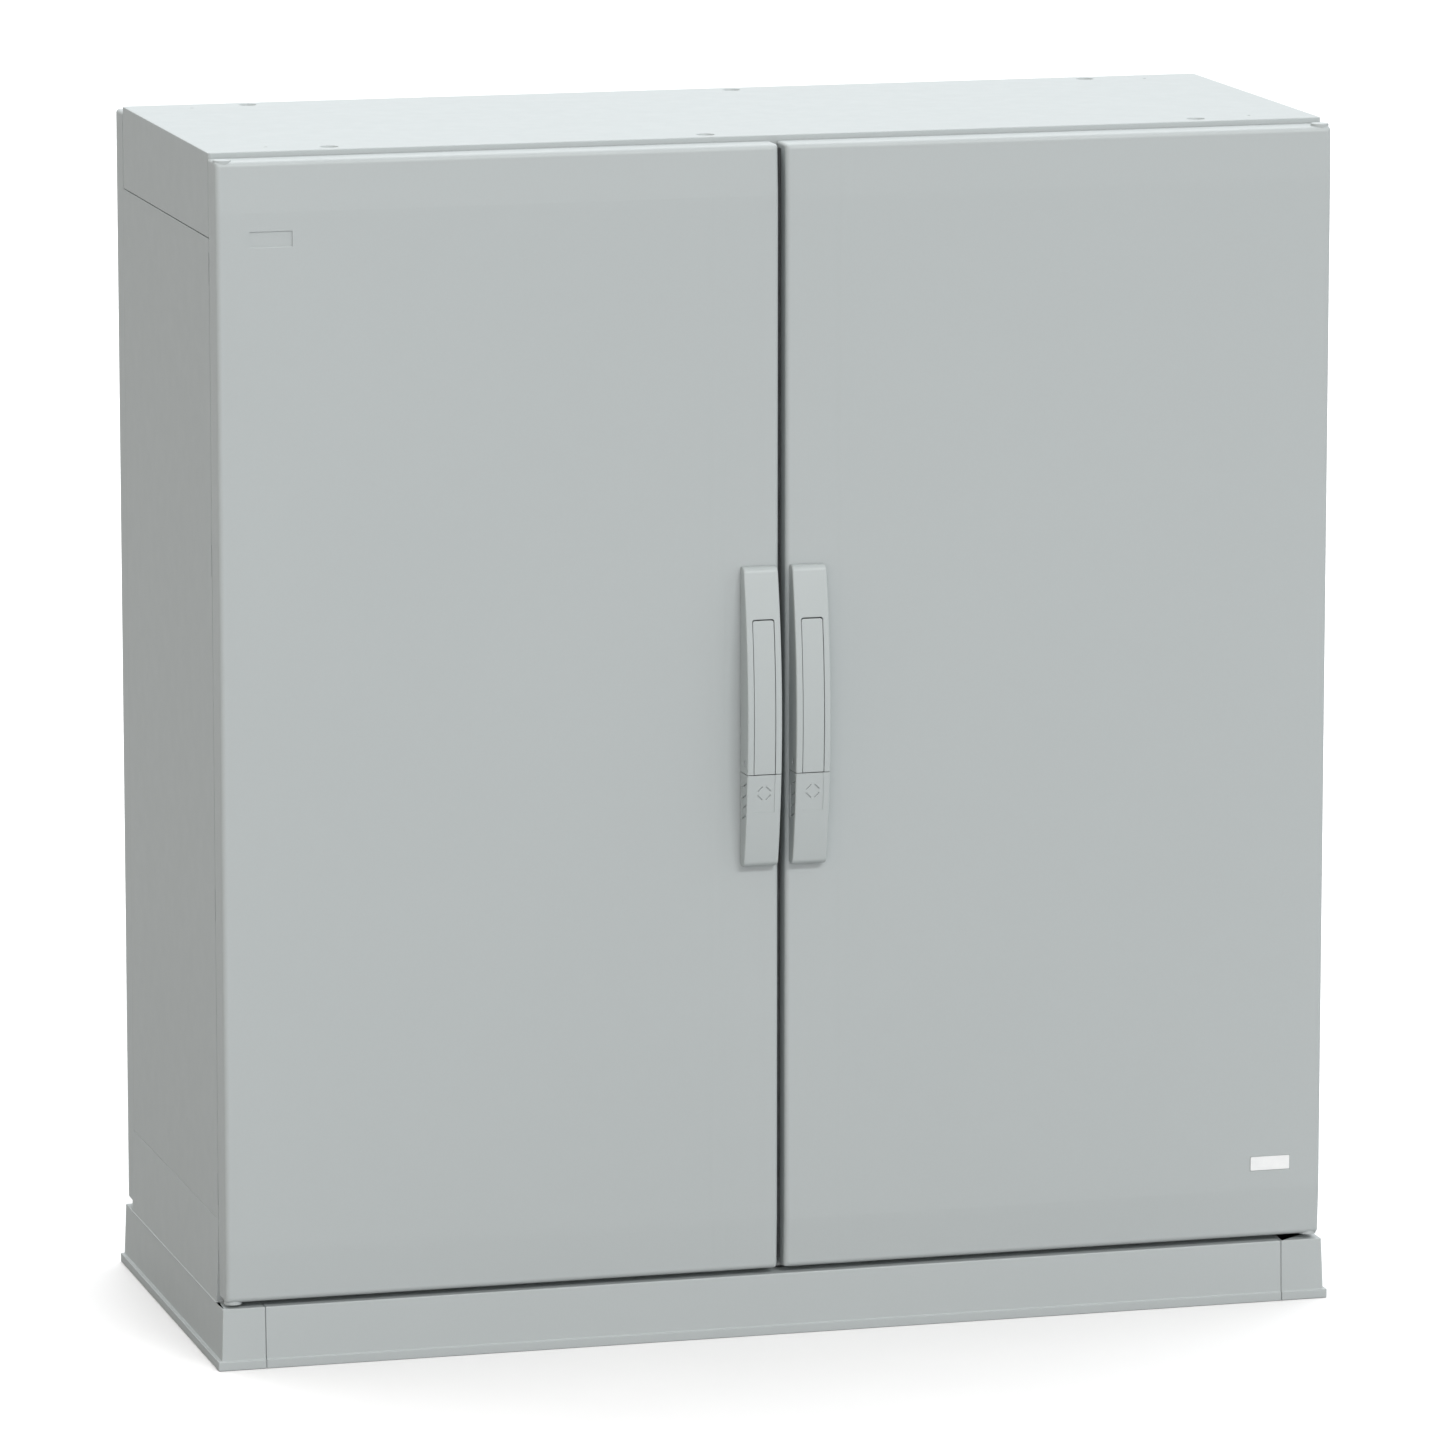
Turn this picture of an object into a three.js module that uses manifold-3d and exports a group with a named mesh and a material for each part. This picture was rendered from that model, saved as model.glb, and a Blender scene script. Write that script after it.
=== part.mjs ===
// Double-door outdoor service enclosure, moulded glass-reinforced polyester, on a low plinth.
// Millimetres. +X to the right, +Y to the back, +Z up. The origin is on the floor, in the middle of the footprint.
import * as THREE from "three";
import { mergeVertices } from "three/addons/utils/BufferGeometryUtils.js";
import Module from "manifold-3d";

const wasm = await Module();
wasm.setup();

// ---------------------------------------------------------------- driving dimensions
const HALF_W = 500; // half of the body's width
const BODY_FRONT = -167; // front plane of the body
const BODY_REAR = 192; // rear plane of the body
const HEIGHT = 1060; // top of the roof
const ROOF_BOTTOM = 987; // lower edge of the roof's skirts
const BASE_TOP = 128; // upper edge of the base mouldings
const WALL = 4; // moulded wall
const GAP = 0.3; // clearance between pieces that touch

const OPEN_X = 462; // half width of the front and rear openings
const OPEN_Z0 = 96; // sill of the openings
const OPEN_Z1 = 1018; // head of the openings
const LIP = 3; // thickness of the gutter lip
const LIP_FRONT = -182; // front edge of the gutter lip
const LIP_END = 9.5; // where the head and sill lips stop, from the middle

const DOOR_FRONT = -198; // front face of the doors
const DOOR_REAR = -168.5; // rear edge of the doors' skirts
const DOOR_Z0 = 59.2;
const DOOR_Z1 = 1055;
const MEET_X = 3.1; // half of the gap between the doors
const DOOR_EDGE_R = 4.8;
const ROOF_EDGE_R = 1.6;
const REAR_EDGE_R = 3;
const REAR_FACE = 222; // rear face of the rear panel

const FLANGE_X = 507.5; // half width over the floor flange
const FLANGE_H = 8;
const PLINTH_TOP = 54.2;
const CORNER_X = 465; // half width between the plinth's corner returns

const HINGE_X = 492; // hinge axis, from the middle
const HINGE_Y = -186.5;
const HINGE_Z = [154.5, 406.5, 708, 960];
const HINGE_PIN_R = 2.2;

const HANDLE_X = 22; // handle's middle, from the middle of the enclosure
const HANDLE_W = 31.8;
const HANDLE_Z0 = 423.3;
const HANDLE_Z1 = 688;
const HANDLE_SPLIT = 507; // seam between the housing and the lock cover
const HANDLE_TOP_Z = 552; // height where the bowed front stands furthest out
const HANDLE_OUT = 23.5; // furthest stand-out from the door face
const HANDLE_R = 620; // radius of the bowed front
const LEVER_W = 18.8;
const LEVER_Z1 = 642.2;
const LEVER_Z0 = 507.4; // lower end of the lever's front, just above the seam
const LEVER_PIN = [-211, 516]; // y, z of the lever's pin
const SECTOR_M = 2, // module of the lever's sector and the front rack
  SECTOR_N = 20;
const PINION_M = 1.2,
  PINION_N = 10;
const RACK_FRONT_Y = LEVER_PIN[0] + (SECTOR_M * SECTOR_N) / 2; // pitch plane of the front rack
const RACK_BACK_Y = -184; // pitch plane of the lower rod's rear rack
const PINION_Y = RACK_BACK_Y + (PINION_M * PINION_N) / 2;
const PINION_Z = 520;
const UPPER_RACK_Y = PINION_Y + (PINION_M * PINION_N) / 2;

// ---------------------------------------------------------------- solids
// A closed geometry becomes a solid, and a solid becomes a geometry again.
function solid(geometry) {
  const g = (geometry.index ? geometry.toNonIndexed() : geometry).clone();
  g.deleteAttribute("normal");
  g.deleteAttribute("uv");
  const m = mergeVertices(g, 1e-4);
  return new wasm.Manifold(
    new wasm.Mesh({
      numProp: 3,
      vertProperties: new Float32Array(m.attributes.position.array),
      triVerts: new Uint32Array(m.index.array),
    }),
  );
}

function geometryOf(s) {
  const m = s.getMesh();
  const g = new THREE.BufferGeometry();
  g.setAttribute(
    "position",
    new THREE.BufferAttribute(new Float32Array(m.vertProperties), 3),
  );
  g.setIndex(new THREE.BufferAttribute(new Uint32Array(m.triVerts), 1));
  g.computeVertexNormals();
  return g;
}

function box(x0, x1, y0, y1, z0, z1) {
  const g = new THREE.BoxGeometry(x1 - x0, y1 - y0, z1 - z0);
  g.translate((x0 + x1) / 2, (y0 + y1) / 2, (z0 + z1) / 2);
  return solid(g);
}

// A prism whose section changes from one convex ring of points to the next.
function rings(list) {
  const n = list[0].length,
    pos = list.flat(2),
    idx = [];
  for (let k = 0; k + 1 < list.length; k++)
    for (let i = 0; i < n; i++) {
      const a = k * n + i,
        b = k * n + ((i + 1) % n),
        c = a + n,
        d = b + n;
      idx.push(a, b, d, a, d, c);
    }
  const last = (list.length - 1) * n;
  for (let i = 1; i + 1 < n; i++) {
    idx.push(0, i + 1, i);
    idx.push(last, last + i, last + i + 1);
  }
  const g = new THREE.BufferGeometry();
  g.setAttribute("position", new THREE.BufferAttribute(new Float32Array(pos), 3));
  g.setIndex(idx);
  let s = solid(g);
  if (s.volume() < 0) {
    for (let i = 0; i < idx.length; i += 3)
      [idx[i + 1], idx[i + 2]] = [idx[i + 2], idx[i + 1]];
    g.setIndex(idx);
    s = solid(g);
  }
  return s;
}

// A block that tapers from one rectangle at the bottom to another at the top.
const taper = (x0, x1, y0, y1, z0, X0, X1, Y0, Y1, z1) =>
  rings([
    [[x0, y0, z0], [x1, y0, z0], [x1, y1, z0], [x0, y1, z0]],
    [[X0, Y0, z1], [X1, Y0, z1], [X1, Y1, z1], [X0, Y1, z1]],
  ]);

// Rectangle with rounded corners, in two coordinates.
function roundedRect(u0, u1, v0, v1, r, n = 3) {
  const pts = [];
  [[u1 - r, v0 + r, -90], [u1 - r, v1 - r, 0], [u0 + r, v1 - r, 90], [u0 + r, v0 + r, 180]].forEach(
    ([u, v, a]) => {
      for (let i = 0; i <= n; i++) {
        const t = ((a + (90 * i) / n) * Math.PI) / 180;
        pts.push([u + r * Math.cos(t), v + r * Math.sin(t)]);
      }
    },
  );
  return pts;
}

// An outline in Y and Z, pushed along X from x0 to x1.
function alongX(outline, x0, x1) {
  const shape = new THREE.Shape(outline.map(([y, z]) => new THREE.Vector2(y, z)));
  const g = new THREE.ExtrudeGeometry(shape, { depth: x1 - x0, bevelEnabled: false });
  // shape x -> Y, shape y -> Z, depth -> X
  g.applyMatrix4(new THREE.Matrix4().set(0, 0, 1, x0, 1, 0, 0, 0, 0, 1, 0, 0, 0, 0, 0, 1));
  return solid(g);
}

// An outline in X and Y, pushed along Z from z0 to z1.
function alongZ(outline, z0, z1) {
  const shape = new THREE.Shape(outline.map(([x, y]) => new THREE.Vector2(x, y)));
  const g = new THREE.ExtrudeGeometry(shape, { depth: z1 - z0, bevelEnabled: false });
  g.translate(0, 0, z0);
  return solid(g);
}

function cylZ(x, y, r, z0, z1, n = 16) {
  const g = new THREE.CylinderGeometry(r, r, z1 - z0, n);
  g.rotateX(Math.PI / 2);
  g.translate(x, y, (z0 + z1) / 2);
  return solid(g);
}
function cylY(x, z, r, y0, y1, n = 16) {
  const g = new THREE.CylinderGeometry(r, r, y1 - y0, n);
  g.translate(x, (y0 + y1) / 2, z);
  return solid(g);
}
function cylX(y, z, r, x0, x1, n = 16) {
  const g = new THREE.CylinderGeometry(r, r, x1 - x0, n);
  g.rotateZ(Math.PI / 2);
  g.translate((x0 + x1) / 2, y, z);
  return solid(g);
}

const join = (...s) => s.reduce((a, b) => a.add(b));
const cut = (s, ...tools) => tools.reduce((a, b) => a.subtract(b), s);
const mirrorX = (s) => {
  const g = geometryOf(s).toNonIndexed();
  const p = g.attributes.position;
  for (let i = 0; i < p.count; i++) p.setX(i, -p.getX(i));
  for (let i = 0; i < p.count; i += 3) {
    const t = [p.getX(i + 1), p.getY(i + 1), p.getZ(i + 1)];
    p.setXYZ(i + 1, p.getX(i + 2), p.getY(i + 2), p.getZ(i + 2));
    p.setXYZ(i + 2, ...t);
  }
  return solid(g);
};

// ---------------------------------------------------------------- finishes
const FINISH = {
  grp: { color: 0xc3c9c9, roughness: 0.5, metalness: 0 },
  handle: { color: 0xbfc6c7, roughness: 0.42, metalness: 0 },
  steel: { color: 0xb9bcbd, roughness: 0.35, metalness: 0.9 },
  plate_steel: { color: 0xc9ccce, roughness: 0.4, metalness: 0.85 },
  rubber: { color: 0x26282a, roughness: 0.85, metalness: 0 },
  white: { color: 0xeef1f0, roughness: 0.35, metalness: 0 },
};
const group = new THREE.Group();
function node(name, s, finish, parent = group) {
  const mesh = new THREE.Mesh(geometryOf(s), new THREE.MeshStandardMaterial(FINISH[finish]));
  mesh.name = name;
  parent.add(mesh);
  return mesh;
}

// ---------------------------------------------------------------- roof
{
  const r = ROOF_EDGE_R;
  const y0 = BODY_FRONT,
    y1 = BODY_REAR;
  const rect = (inset, z) =>
    roundedRect(-HALF_W + inset, HALF_W - inset, y0 + inset, y1 - inset, 3, 2).map(([x, y]) => [x, y, z]);
  let roof = rings([rect(0, ROOF_BOTTOM), rect(0, HEIGHT - r), rect(r * 0.3, HEIGHT - r * 0.3), rect(r, HEIGHT)]);
  roof = cut(
    roof,
    box(-HALF_W + WALL, HALF_W - WALL, y0 + WALL, y1 - WALL, ROOF_BOTTOM - 1, HEIGHT - WALL),
    // the head of the front and of the rear opening
    box(-OPEN_X, OPEN_X, y0 - 1, y0 + WALL + 1, ROOF_BOTTOM - 1, OPEN_Z1),
    box(-OPEN_X, OPEN_X, y1 - WALL - 1, y1 + 1, ROOF_BOTTOM - 1, OPEN_Z1),
  );
  // corner returns beside the openings
  for (const s of [-1, 1])
    for (const [a, b] of [
      [y0, y0 + WALL],
      [y1 - WALL, y1],
    ])
      roof = join(roof, box(Math.min(s * OPEN_X, s * (HALF_W - 1)), Math.max(s * OPEN_X, s * (HALF_W - 1)), a, b, ROOF_BOTTOM, OPEN_Z1 + 1));
  // gutter lip round the head of the front opening
  roof = join(
    roof,
    // in two lengths, so that the doors' meeting edges pass between them
    box(-OPEN_X - LIP, -LIP_END, LIP_FRONT, y0 + 1, OPEN_Z1, OPEN_Z1 + LIP),
    box(LIP_END, OPEN_X + LIP, LIP_FRONT, y0 + 1, OPEN_Z1, OPEN_Z1 + LIP),
    box(-OPEN_X - LIP, -OPEN_X, LIP_FRONT, y0 + 1, ROOF_BOTTOM, OPEN_Z1 + 1),
    box(OPEN_X, OPEN_X + LIP, LIP_FRONT, y0 + 1, ROOF_BOTTOM, OPEN_Z1 + 1),
  );
  // ribs under the top
  for (const x of [-250, 0, 250])
    roof = join(roof, box(x - 2, x + 2, y0 + WALL - 1, y1 - WALL + 1, HEIGHT - WALL - 18, HEIGHT - WALL + 1));
  // dished seats for the lifting screws
  const seats = [
    [-390, -149.5], [390, -149.5], [-56, -149.5],
    [-390, 174.5], [390, 174.5], [56, 174.5],
  ];
  for (const [x, y] of seats) roof = cut(roof, cylZ(x, y, 8, HEIGHT - 3, HEIGHT + 1, 16));
  node("roof_cap", roof, "grp");
}

// ---------------------------------------------------------------- side panels
function sidePanel() {
  const z0 = BASE_TOP + GAP,
    z1 = ROOF_BOTTOM - GAP,
    y0 = BODY_FRONT,
    y1 = BODY_REAR;
  let s = join(
    box(-HALF_W, -HALF_W + WALL, y0, y1, z0, z1),
    box(-HALF_W, -OPEN_X, y0, y0 + WALL, z0, z1),
    box(-HALF_W, -OPEN_X, y1 - WALL, y1, z0, z1),
    box(-OPEN_X - LIP, -OPEN_X, LIP_FRONT, y0 + 1, z0, z1),
    // stiffening ribs and the flanges that bolt to the roof and the base
    box(-HALF_W + 1, -HALF_W + 14, y0 + 1, y1 - 1, z0, z0 + WALL),
    box(-HALF_W + 1, -HALF_W + 14, y0 + 1, y1 - 1, z1 - WALL, z1),
    box(-HALF_W + 1, -HALF_W + 12, -52, -48, z0 + 1, z1 - 1),
    box(-HALF_W + 1, -HALF_W + 12, 73, 77, z0 + 1, z1 - 1),
  );
  for (const z of HINGE_Z) {
    // notch in the outer front edge, and the slot that the hinge bracket passes through
    s = cut(s, box(-HALF_W - 1, -HALF_W + WALL + 1, y0 - 1, y0 + 1.2, z - 14, z + 14));
    s = cut(s, box(-472, -467, y0 - 1, y0 + WALL + 1, z - 9, z + 9));
  }
  return s;
}
const LEFT_SIDE = sidePanel();
node("left_side_panel", LEFT_SIDE, "grp");
node("right_side_panel", mirrorX(LEFT_SIDE), "grp");

// ---------------------------------------------------------------- rear panel
{
  const y0 = BODY_REAR + GAP,
    y1 = REAR_FACE,
    r = REAR_EDGE_R;
  const rect = (inset, y) =>
    roundedRect(-HALF_W + inset, HALF_W - inset, DOOR_Z0 + inset, DOOR_Z1 - inset, 3, 2).map(([x, z]) => [x, y, z]);
  let p = rings([rect(0, y0), rect(0, y1 - r), rect(r * 0.3, y1 - r * 0.3), rect(r, y1)]);
  p = cut(p, box(-HALF_W + WALL, HALF_W - WALL, y0 - 1, y1 - WALL, DOOR_Z0 + WALL, DOOR_Z1 - WALL));
  for (const x of [-250, 0, 250])
    p = join(p, box(x - 2, x + 2, y1 - WALL - 14, y1 - WALL + 1, DOOR_Z0 + 2, DOOR_Z1 - 2));
  node("rear_panel", p, "grp");
}

// ---------------------------------------------------------------- base and plinth
const BASE_OUT = 504.3, // outer face at the top of the flange
  PLINTH_FRONT = -195,
  PLINTH_REAR = 219,
  FLANGE_FRONT = -198.5,
  FLANGE_REAR = 222;
function baseMoulding() {
  const w = 5;
  const k = (BASE_OUT - HALF_W) / (BASE_TOP - FLANGE_H);
  const xAt = (z) => HALF_W + k * (BASE_TOP - z);
  let s = join(
    // upper part, behind the doors
    taper(-xAt(PLINTH_TOP), -OPEN_X, BODY_FRONT, BODY_REAR, PLINTH_TOP - 2, -HALF_W, -OPEN_X, BODY_FRONT, BODY_REAR, BASE_TOP),
    // lower part, out to the plinth's faces
    taper(-BASE_OUT, -CORNER_X, PLINTH_FRONT - 2, PLINTH_REAR + 1.5, FLANGE_H - 1, -xAt(PLINTH_TOP), -CORNER_X, PLINTH_FRONT, PLINTH_REAR, PLINTH_TOP),
    box(-FLANGE_X, -CORNER_X, FLANGE_FRONT, FLANGE_REAR, 0, FLANGE_H),
  );
  // hollow inside: above and below the ledge that carries the floor
  s = cut(
    s,
    box(-HALF_W + w, -OPEN_X + 10, BODY_FRONT + WALL, BODY_REAR - WALL, PLINTH_TOP, BASE_TOP + 1),
    box(-HALF_W + w, -CORNER_X + 10, PLINTH_FRONT + w, PLINTH_REAR - w, -1, PLINTH_TOP - WALL),
  );
  s = join(
    s,
    box(-OPEN_X - LIP, -OPEN_X, LIP_FRONT, BODY_FRONT + 1, OPEN_Z0, BASE_TOP),
  );
  return s;
}
const LEFT_BASE = baseMoulding();
node("left_base_moulding", LEFT_BASE, "grp");
node("right_base_moulding", mirrorX(LEFT_BASE), "grp");

function plinthPanel(front) {
  const x = CORNER_X - GAP;
  const s = front ? 1 : -1;
  // the section is drawn for the front and turned round for the rear
  const f = front ? PLINTH_FRONT : PLINTH_REAR,
    flange = front ? FLANGE_FRONT : FLANGE_REAR,
    foot = front ? PLINTH_FRONT - 2 : PLINTH_REAR + 1.5;
  let o = [
    [flange, 0], [f + s * 28, 0], [f + s * 28, 4], [f + s * 4, 4], [f + s * 4, 49.5], [f + s * 24, 49.5],
    [f + s * 24, PLINTH_TOP], [f + s * 1.5, PLINTH_TOP], [f, PLINTH_TOP - 1.5], [foot, FLANGE_H], [flange, FLANGE_H],
  ];
  if (!front) o = o.reverse();
  return alongX(o, -x, x);
}
node("front_plinth_panel", plinthPanel(true), "grp");
node("rear_plinth_panel", plinthPanel(false), "grp");

// ---------------------------------------------------------------- floor
const FLOOR_Z = PLINTH_TOP + GAP;
const CABLE_Y = [-20, 140];
{
  const x = OPEN_X - GAP;
  let f = join(
    box(-x, x, BODY_FRONT, BODY_REAR - GAP, FLOOR_Z, FLOOR_Z + WALL),
    // front upstand with the sill's gutter lip, and rear upstand
    box(-x, x, BODY_FRONT, BODY_FRONT + WALL, FLOOR_Z, OPEN_Z0),
    box(-x, -LIP_END, LIP_FRONT, BODY_FRONT + 1, OPEN_Z0 - LIP, OPEN_Z0),
    box(LIP_END, x, LIP_FRONT, BODY_FRONT + 1, OPEN_Z0 - LIP, OPEN_Z0),
    box(-x, x, BODY_REAR - GAP - WALL, BODY_REAR - GAP, FLOOR_Z, OPEN_Z0),
    // ears that rest on the side ledges
    box(-x - 26, -x + 1, -120, 150, FLOOR_Z, FLOOR_Z + WALL),
    box(x - 1, x + 26, -120, 150, FLOOR_Z, FLOOR_Z + WALL),
  );
  f = cut(f, box(-330, 330, CABLE_Y[0], CABLE_Y[1], FLOOR_Z - 1, FLOOR_Z + WALL + 1));
  node("floor_tray", f, "grp");
  // removable gland plate over the cable opening
  const z = FLOOR_Z + WALL + GAP;
  let g = box(-345, 345, CABLE_Y[0] - 15, CABLE_Y[1] + 15, z, z + 2);
  for (const cx of [-180, 180]) g = cut(g, cylZ(cx, 60, 45, z - 1, z + 3, 24));
  node("gland_plate", g, "plate_steel");
  for (const [name, cx] of [["left_cable_grommet", -180], ["right_cable_grommet", 180]]) {
    const r0 = 30,
      r1 = 44.6,
      r2 = 52;
    const profile = [
      [r0, z - 6], [r1, z - 4], [r1, z + 2.3], [r2, z + 2.3], [r2, z + 6], [r0, z + 8], [r0, z - 6],
    ].map(([a, b]) => new THREE.Vector2(a, b));
    const l = new THREE.LatheGeometry(profile, 24);
    l.rotateX(Math.PI / 2);
    l.translate(cx, 60, 0);
    let s = solid(l);
    node(name, s, "rubber");
  }
}

// ---------------------------------------------------------------- mounting plate
{
  const y = 140;
  let p = join(
    box(-430, 430, y, y + 2.5, 170, 970),
    box(-430, 430, y, y + 14, 170, 172.5),
    box(-430, 430, y, y + 14, 967.5, 970),
    box(-430, -427.5, y, y + 14, 170, 970),
    box(427.5, 430, y, y + 14, 170, 970),
  );
  const seats = [["left_lower", -1, 230], ["left_upper", -1, 910], ["right_lower", 1, 230], ["right_upper", 1, 910]];
  for (const [n, s, z] of seats) p = cut(p, cylY(s * 410, z, 4.4, y - 1, y + 3, 12));
  node("mounting_plate", p, "plate_steel");
  for (const [n, s, z] of seats) {
    // bracket from the side panel's rear return to the plate's corner, with its stud
    const o = [
      [-495, 187.5], [-466, 187.5], [-466, 184.5], [-446, 184.5], [-446, 157.5], [-398, 157.5], [-398, 154.5],
      [-449, 154.5], [-449, 181.5], [-495, 181.5],
    ];
    let b = join(alongZ(o, z - 15, z + 15), cylY(-410, z, 4, y - 8, 156, 12), cylY(-410, z, 7, y + 2.8, 156, 12));
    node("plate_bracket_" + n, s < 0 ? b : mirrorX(b), "steel");
  }
}

// ---------------------------------------------------------------- hinge brackets on the body
HINGE_Z.forEach((z, i) => {
  const X = -HINGE_X,
    Y = HINGE_Y;
  const arc = [];
  for (let k = 0; k <= 8; k++) {
    const a = Math.PI / 2 + (Math.PI * k) / 8; // round the pin's outer side
    arc.push([X + 3.2 * Math.cos(a), Y + 3.2 * Math.sin(a)]);
  }
  const o = [
    ...arc,
    [X, Y - 4.7], [X + 24.5, Y - 4.7], [X + 24.5, -160], [-494, -160], [-494, -162.7], [X + 20.5, -162.7],
    [X + 20.5, Y], [X + 3.2, Y], [X + 2.3, Y + 2.2],
  ];
  const s = join(alongZ(o, z - 8.5, z + 8.5), cylZ(X, Y, HINGE_PIN_R, z - 15, z + 15, 12));
  node("left_hinge_bracket_" + (i + 1), s, "steel");
  node("right_hinge_bracket_" + (i + 1), mirrorX(s), "steel");
});

// ---------------------------------------------------------------- keepers for the lock rods
{
  // a slot for each rod, and a gap between the two fingers for the doors' meeting edges
  const holes = (s, y0, y1, z0, z1) =>
    cut(
      s,
      box(-HANDLE_X - 7, -HANDLE_X + 7, y0, y1, z0, z1),
      box(HANDLE_X - 7, HANDLE_X + 7, y0, y1, z0, z1),
      box(-LIP_END, LIP_END, -200, -167.5, z0, z1),
    );
  let up = join(box(-60, 60, -162.7, -159.7, 999, 1037), box(-60, 60, -180, -160, 999, 1002));
  node("upper_keeper", holes(up, -173.2, -165, 990, 1010), "steel");
  let low = join(box(-60, 60, -162.7, -159.7, 70, 115), box(-60, 60, -193.2, -160, 112, 115));
  node("lower_keeper", holes(low, -191.2, -183, 105, 120), "steel");
}

// ---------------------------------------------------------------- gears and racks
// Outline of an involute gear in Y and Z round (cy, cz), with a tooth space towards +Y.
function gearOutline(cy, cz, m, N, pa, add, ded, backlash, from = 0, to = N) {
  const rp = (m * N) / 2,
    rb = rp * Math.cos(pa),
    ra = rp + add,
    rr = rp - ded;
  const inv = (x) => Math.tan(x) - x;
  const half = (Math.PI * m) / 2 / rp / 2 - backlash / 2 / rp; // half tooth angle at the pitch circle
  const at = (r) => (r <= rb ? half + inv(pa) : half + inv(pa) - inv(Math.acos(rb / r)));
  const steps = [0, 0.35, 0.7, 1];
  const r0 = Math.max(rb, rr);
  const pts = [];
  for (let k = from; k < to; k++) {
    const mid = ((k + 0.5) * 2 * Math.PI) / N;
    pts.push([rr, mid - at(rr)]);
    if (rr < rb - 1e-6) pts.push([rb, mid - at(rb)]);
    for (const t of steps.slice(rr < rb - 1e-6 ? 1 : 1)) {
      const r = r0 + (ra - r0) * t;
      pts.push([r, mid - at(r)]);
    }
    for (const t of steps.slice(1).reverse()) {
      const r = r0 + (ra - r0) * t;
      pts.push([r, mid + at(r)]);
    }
    if (rr < rb - 1e-6) pts.push([rb, mid + at(rb)]);
    pts.push([rr, mid + at(rr)]);
  }
  return pts.map(([r, a]) => [cy + r * Math.cos(a), cz + r * Math.sin(a)]);
}
// Teeth of a rack on the pitch plane y, pointing along dir, with teeth centred at zc + k pitches.
function rackOutline(y, zc, m, k0, k1, pa, add, ded, backlash, dir, back) {
  const p = Math.PI * m,
    t = p / 4 - backlash / 4,
    tan = Math.tan(pa);
  const pts = [];
  for (let k = k0; k <= k1; k++) {
    const z = zc + k * p;
    pts.push([y - dir * ded, z - t - ded * tan], [y + dir * add, z - t + add * tan]);
    pts.push([y + dir * add, z + t - add * tan], [y - dir * ded, z + t + ded * tan]);
  }
  const z0 = zc + k0 * p - p / 2,
    z1 = zc + k1 * p + p / 2;
  return [[back, z0], [y - dir * ded, z0], ...pts, [y - dir * ded, z1], [back, z1]];
}
const PA20 = (20 * Math.PI) / 180,
  PA25 = (25 * Math.PI) / 180;
const signedArea = (o) =>
  o.reduce((s, [a, b], i) => {
    const [c, d] = o[(i + 1) % o.length];
    return s + a * d - b * c;
  }, 0) / 2;
const ccw = (o) => (signedArea(o) < 0 ? [...o].reverse() : o);

// ---------------------------------------------------------------- handles, in the left door's place
const bow = (z, inset = 0) =>
  DOOR_FRONT - (HANDLE_OUT - inset - (HANDLE_R - Math.sqrt(HANDLE_R ** 2 - (z - HANDLE_TOP_Z) ** 2)));
function bowOutline(z0, z1, inset, back, n, fillet0 = 0, fillet1 = 0) {
  const pts = [[back, z0]];
  if (fillet0) pts.push([bow(z0 + fillet0, inset) + fillet0, z0], [bow(z0 + fillet0, inset) + fillet0 * 0.3, z0 + fillet0 * 0.3]);
  for (let i = 0; i <= n; i++) {
    const a = z0 + fillet0,
      b = z1 - fillet1;
    const z = a + ((b - a) * i) / n;
    pts.push([bow(z, inset), z]);
  }
  if (fillet1) pts.push([bow(z1 - fillet1, inset) + fillet1 * 0.3, z1 - fillet1 * 0.3], [bow(z1 - fillet1, inset) + fillet1, z1]);
  pts.push([back, z1]);
  return ccw(pts);
}
const HX = -HANDLE_X;
const FACE = DOOR_FRONT - GAP; // back of the pieces that lie on the door

function handleHousing() {
  const h = HANDLE_W / 2;
  let s = alongX(bowOutline(HANDLE_SPLIT + GAP, HANDLE_Z1, 0, FACE, 12, 0, 4.6), HX - h, HX + h);
  s = cut(s, box(HX - 10, HX + 10, -260, -202, HANDLE_SPLIT - 20, LEVER_Z1 + 1.4));
  s = join(
    s,
    box(HX - 13.4, HX + 13.4, -202, FACE, HANDLE_Z0 + 3.4, HANDLE_SPLIT + 1),
    box(HX - 9, HX + 9, -213.5, -201, 467.5, 493),
  );
  s = cut(
    s,
    box(HX - 4.2, HX + 4.2, -206, FACE + 1, 494, 538.5), // slot for the sector
    cylX(LEVER_PIN[0], LEVER_PIN[1], 2.7, HX - h - 1, HX + h + 1, 12),
    cylY(HX, 480.5, 6.3, -230, -203, 16), // seat of the lock insert
  );
  return s;
}
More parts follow.
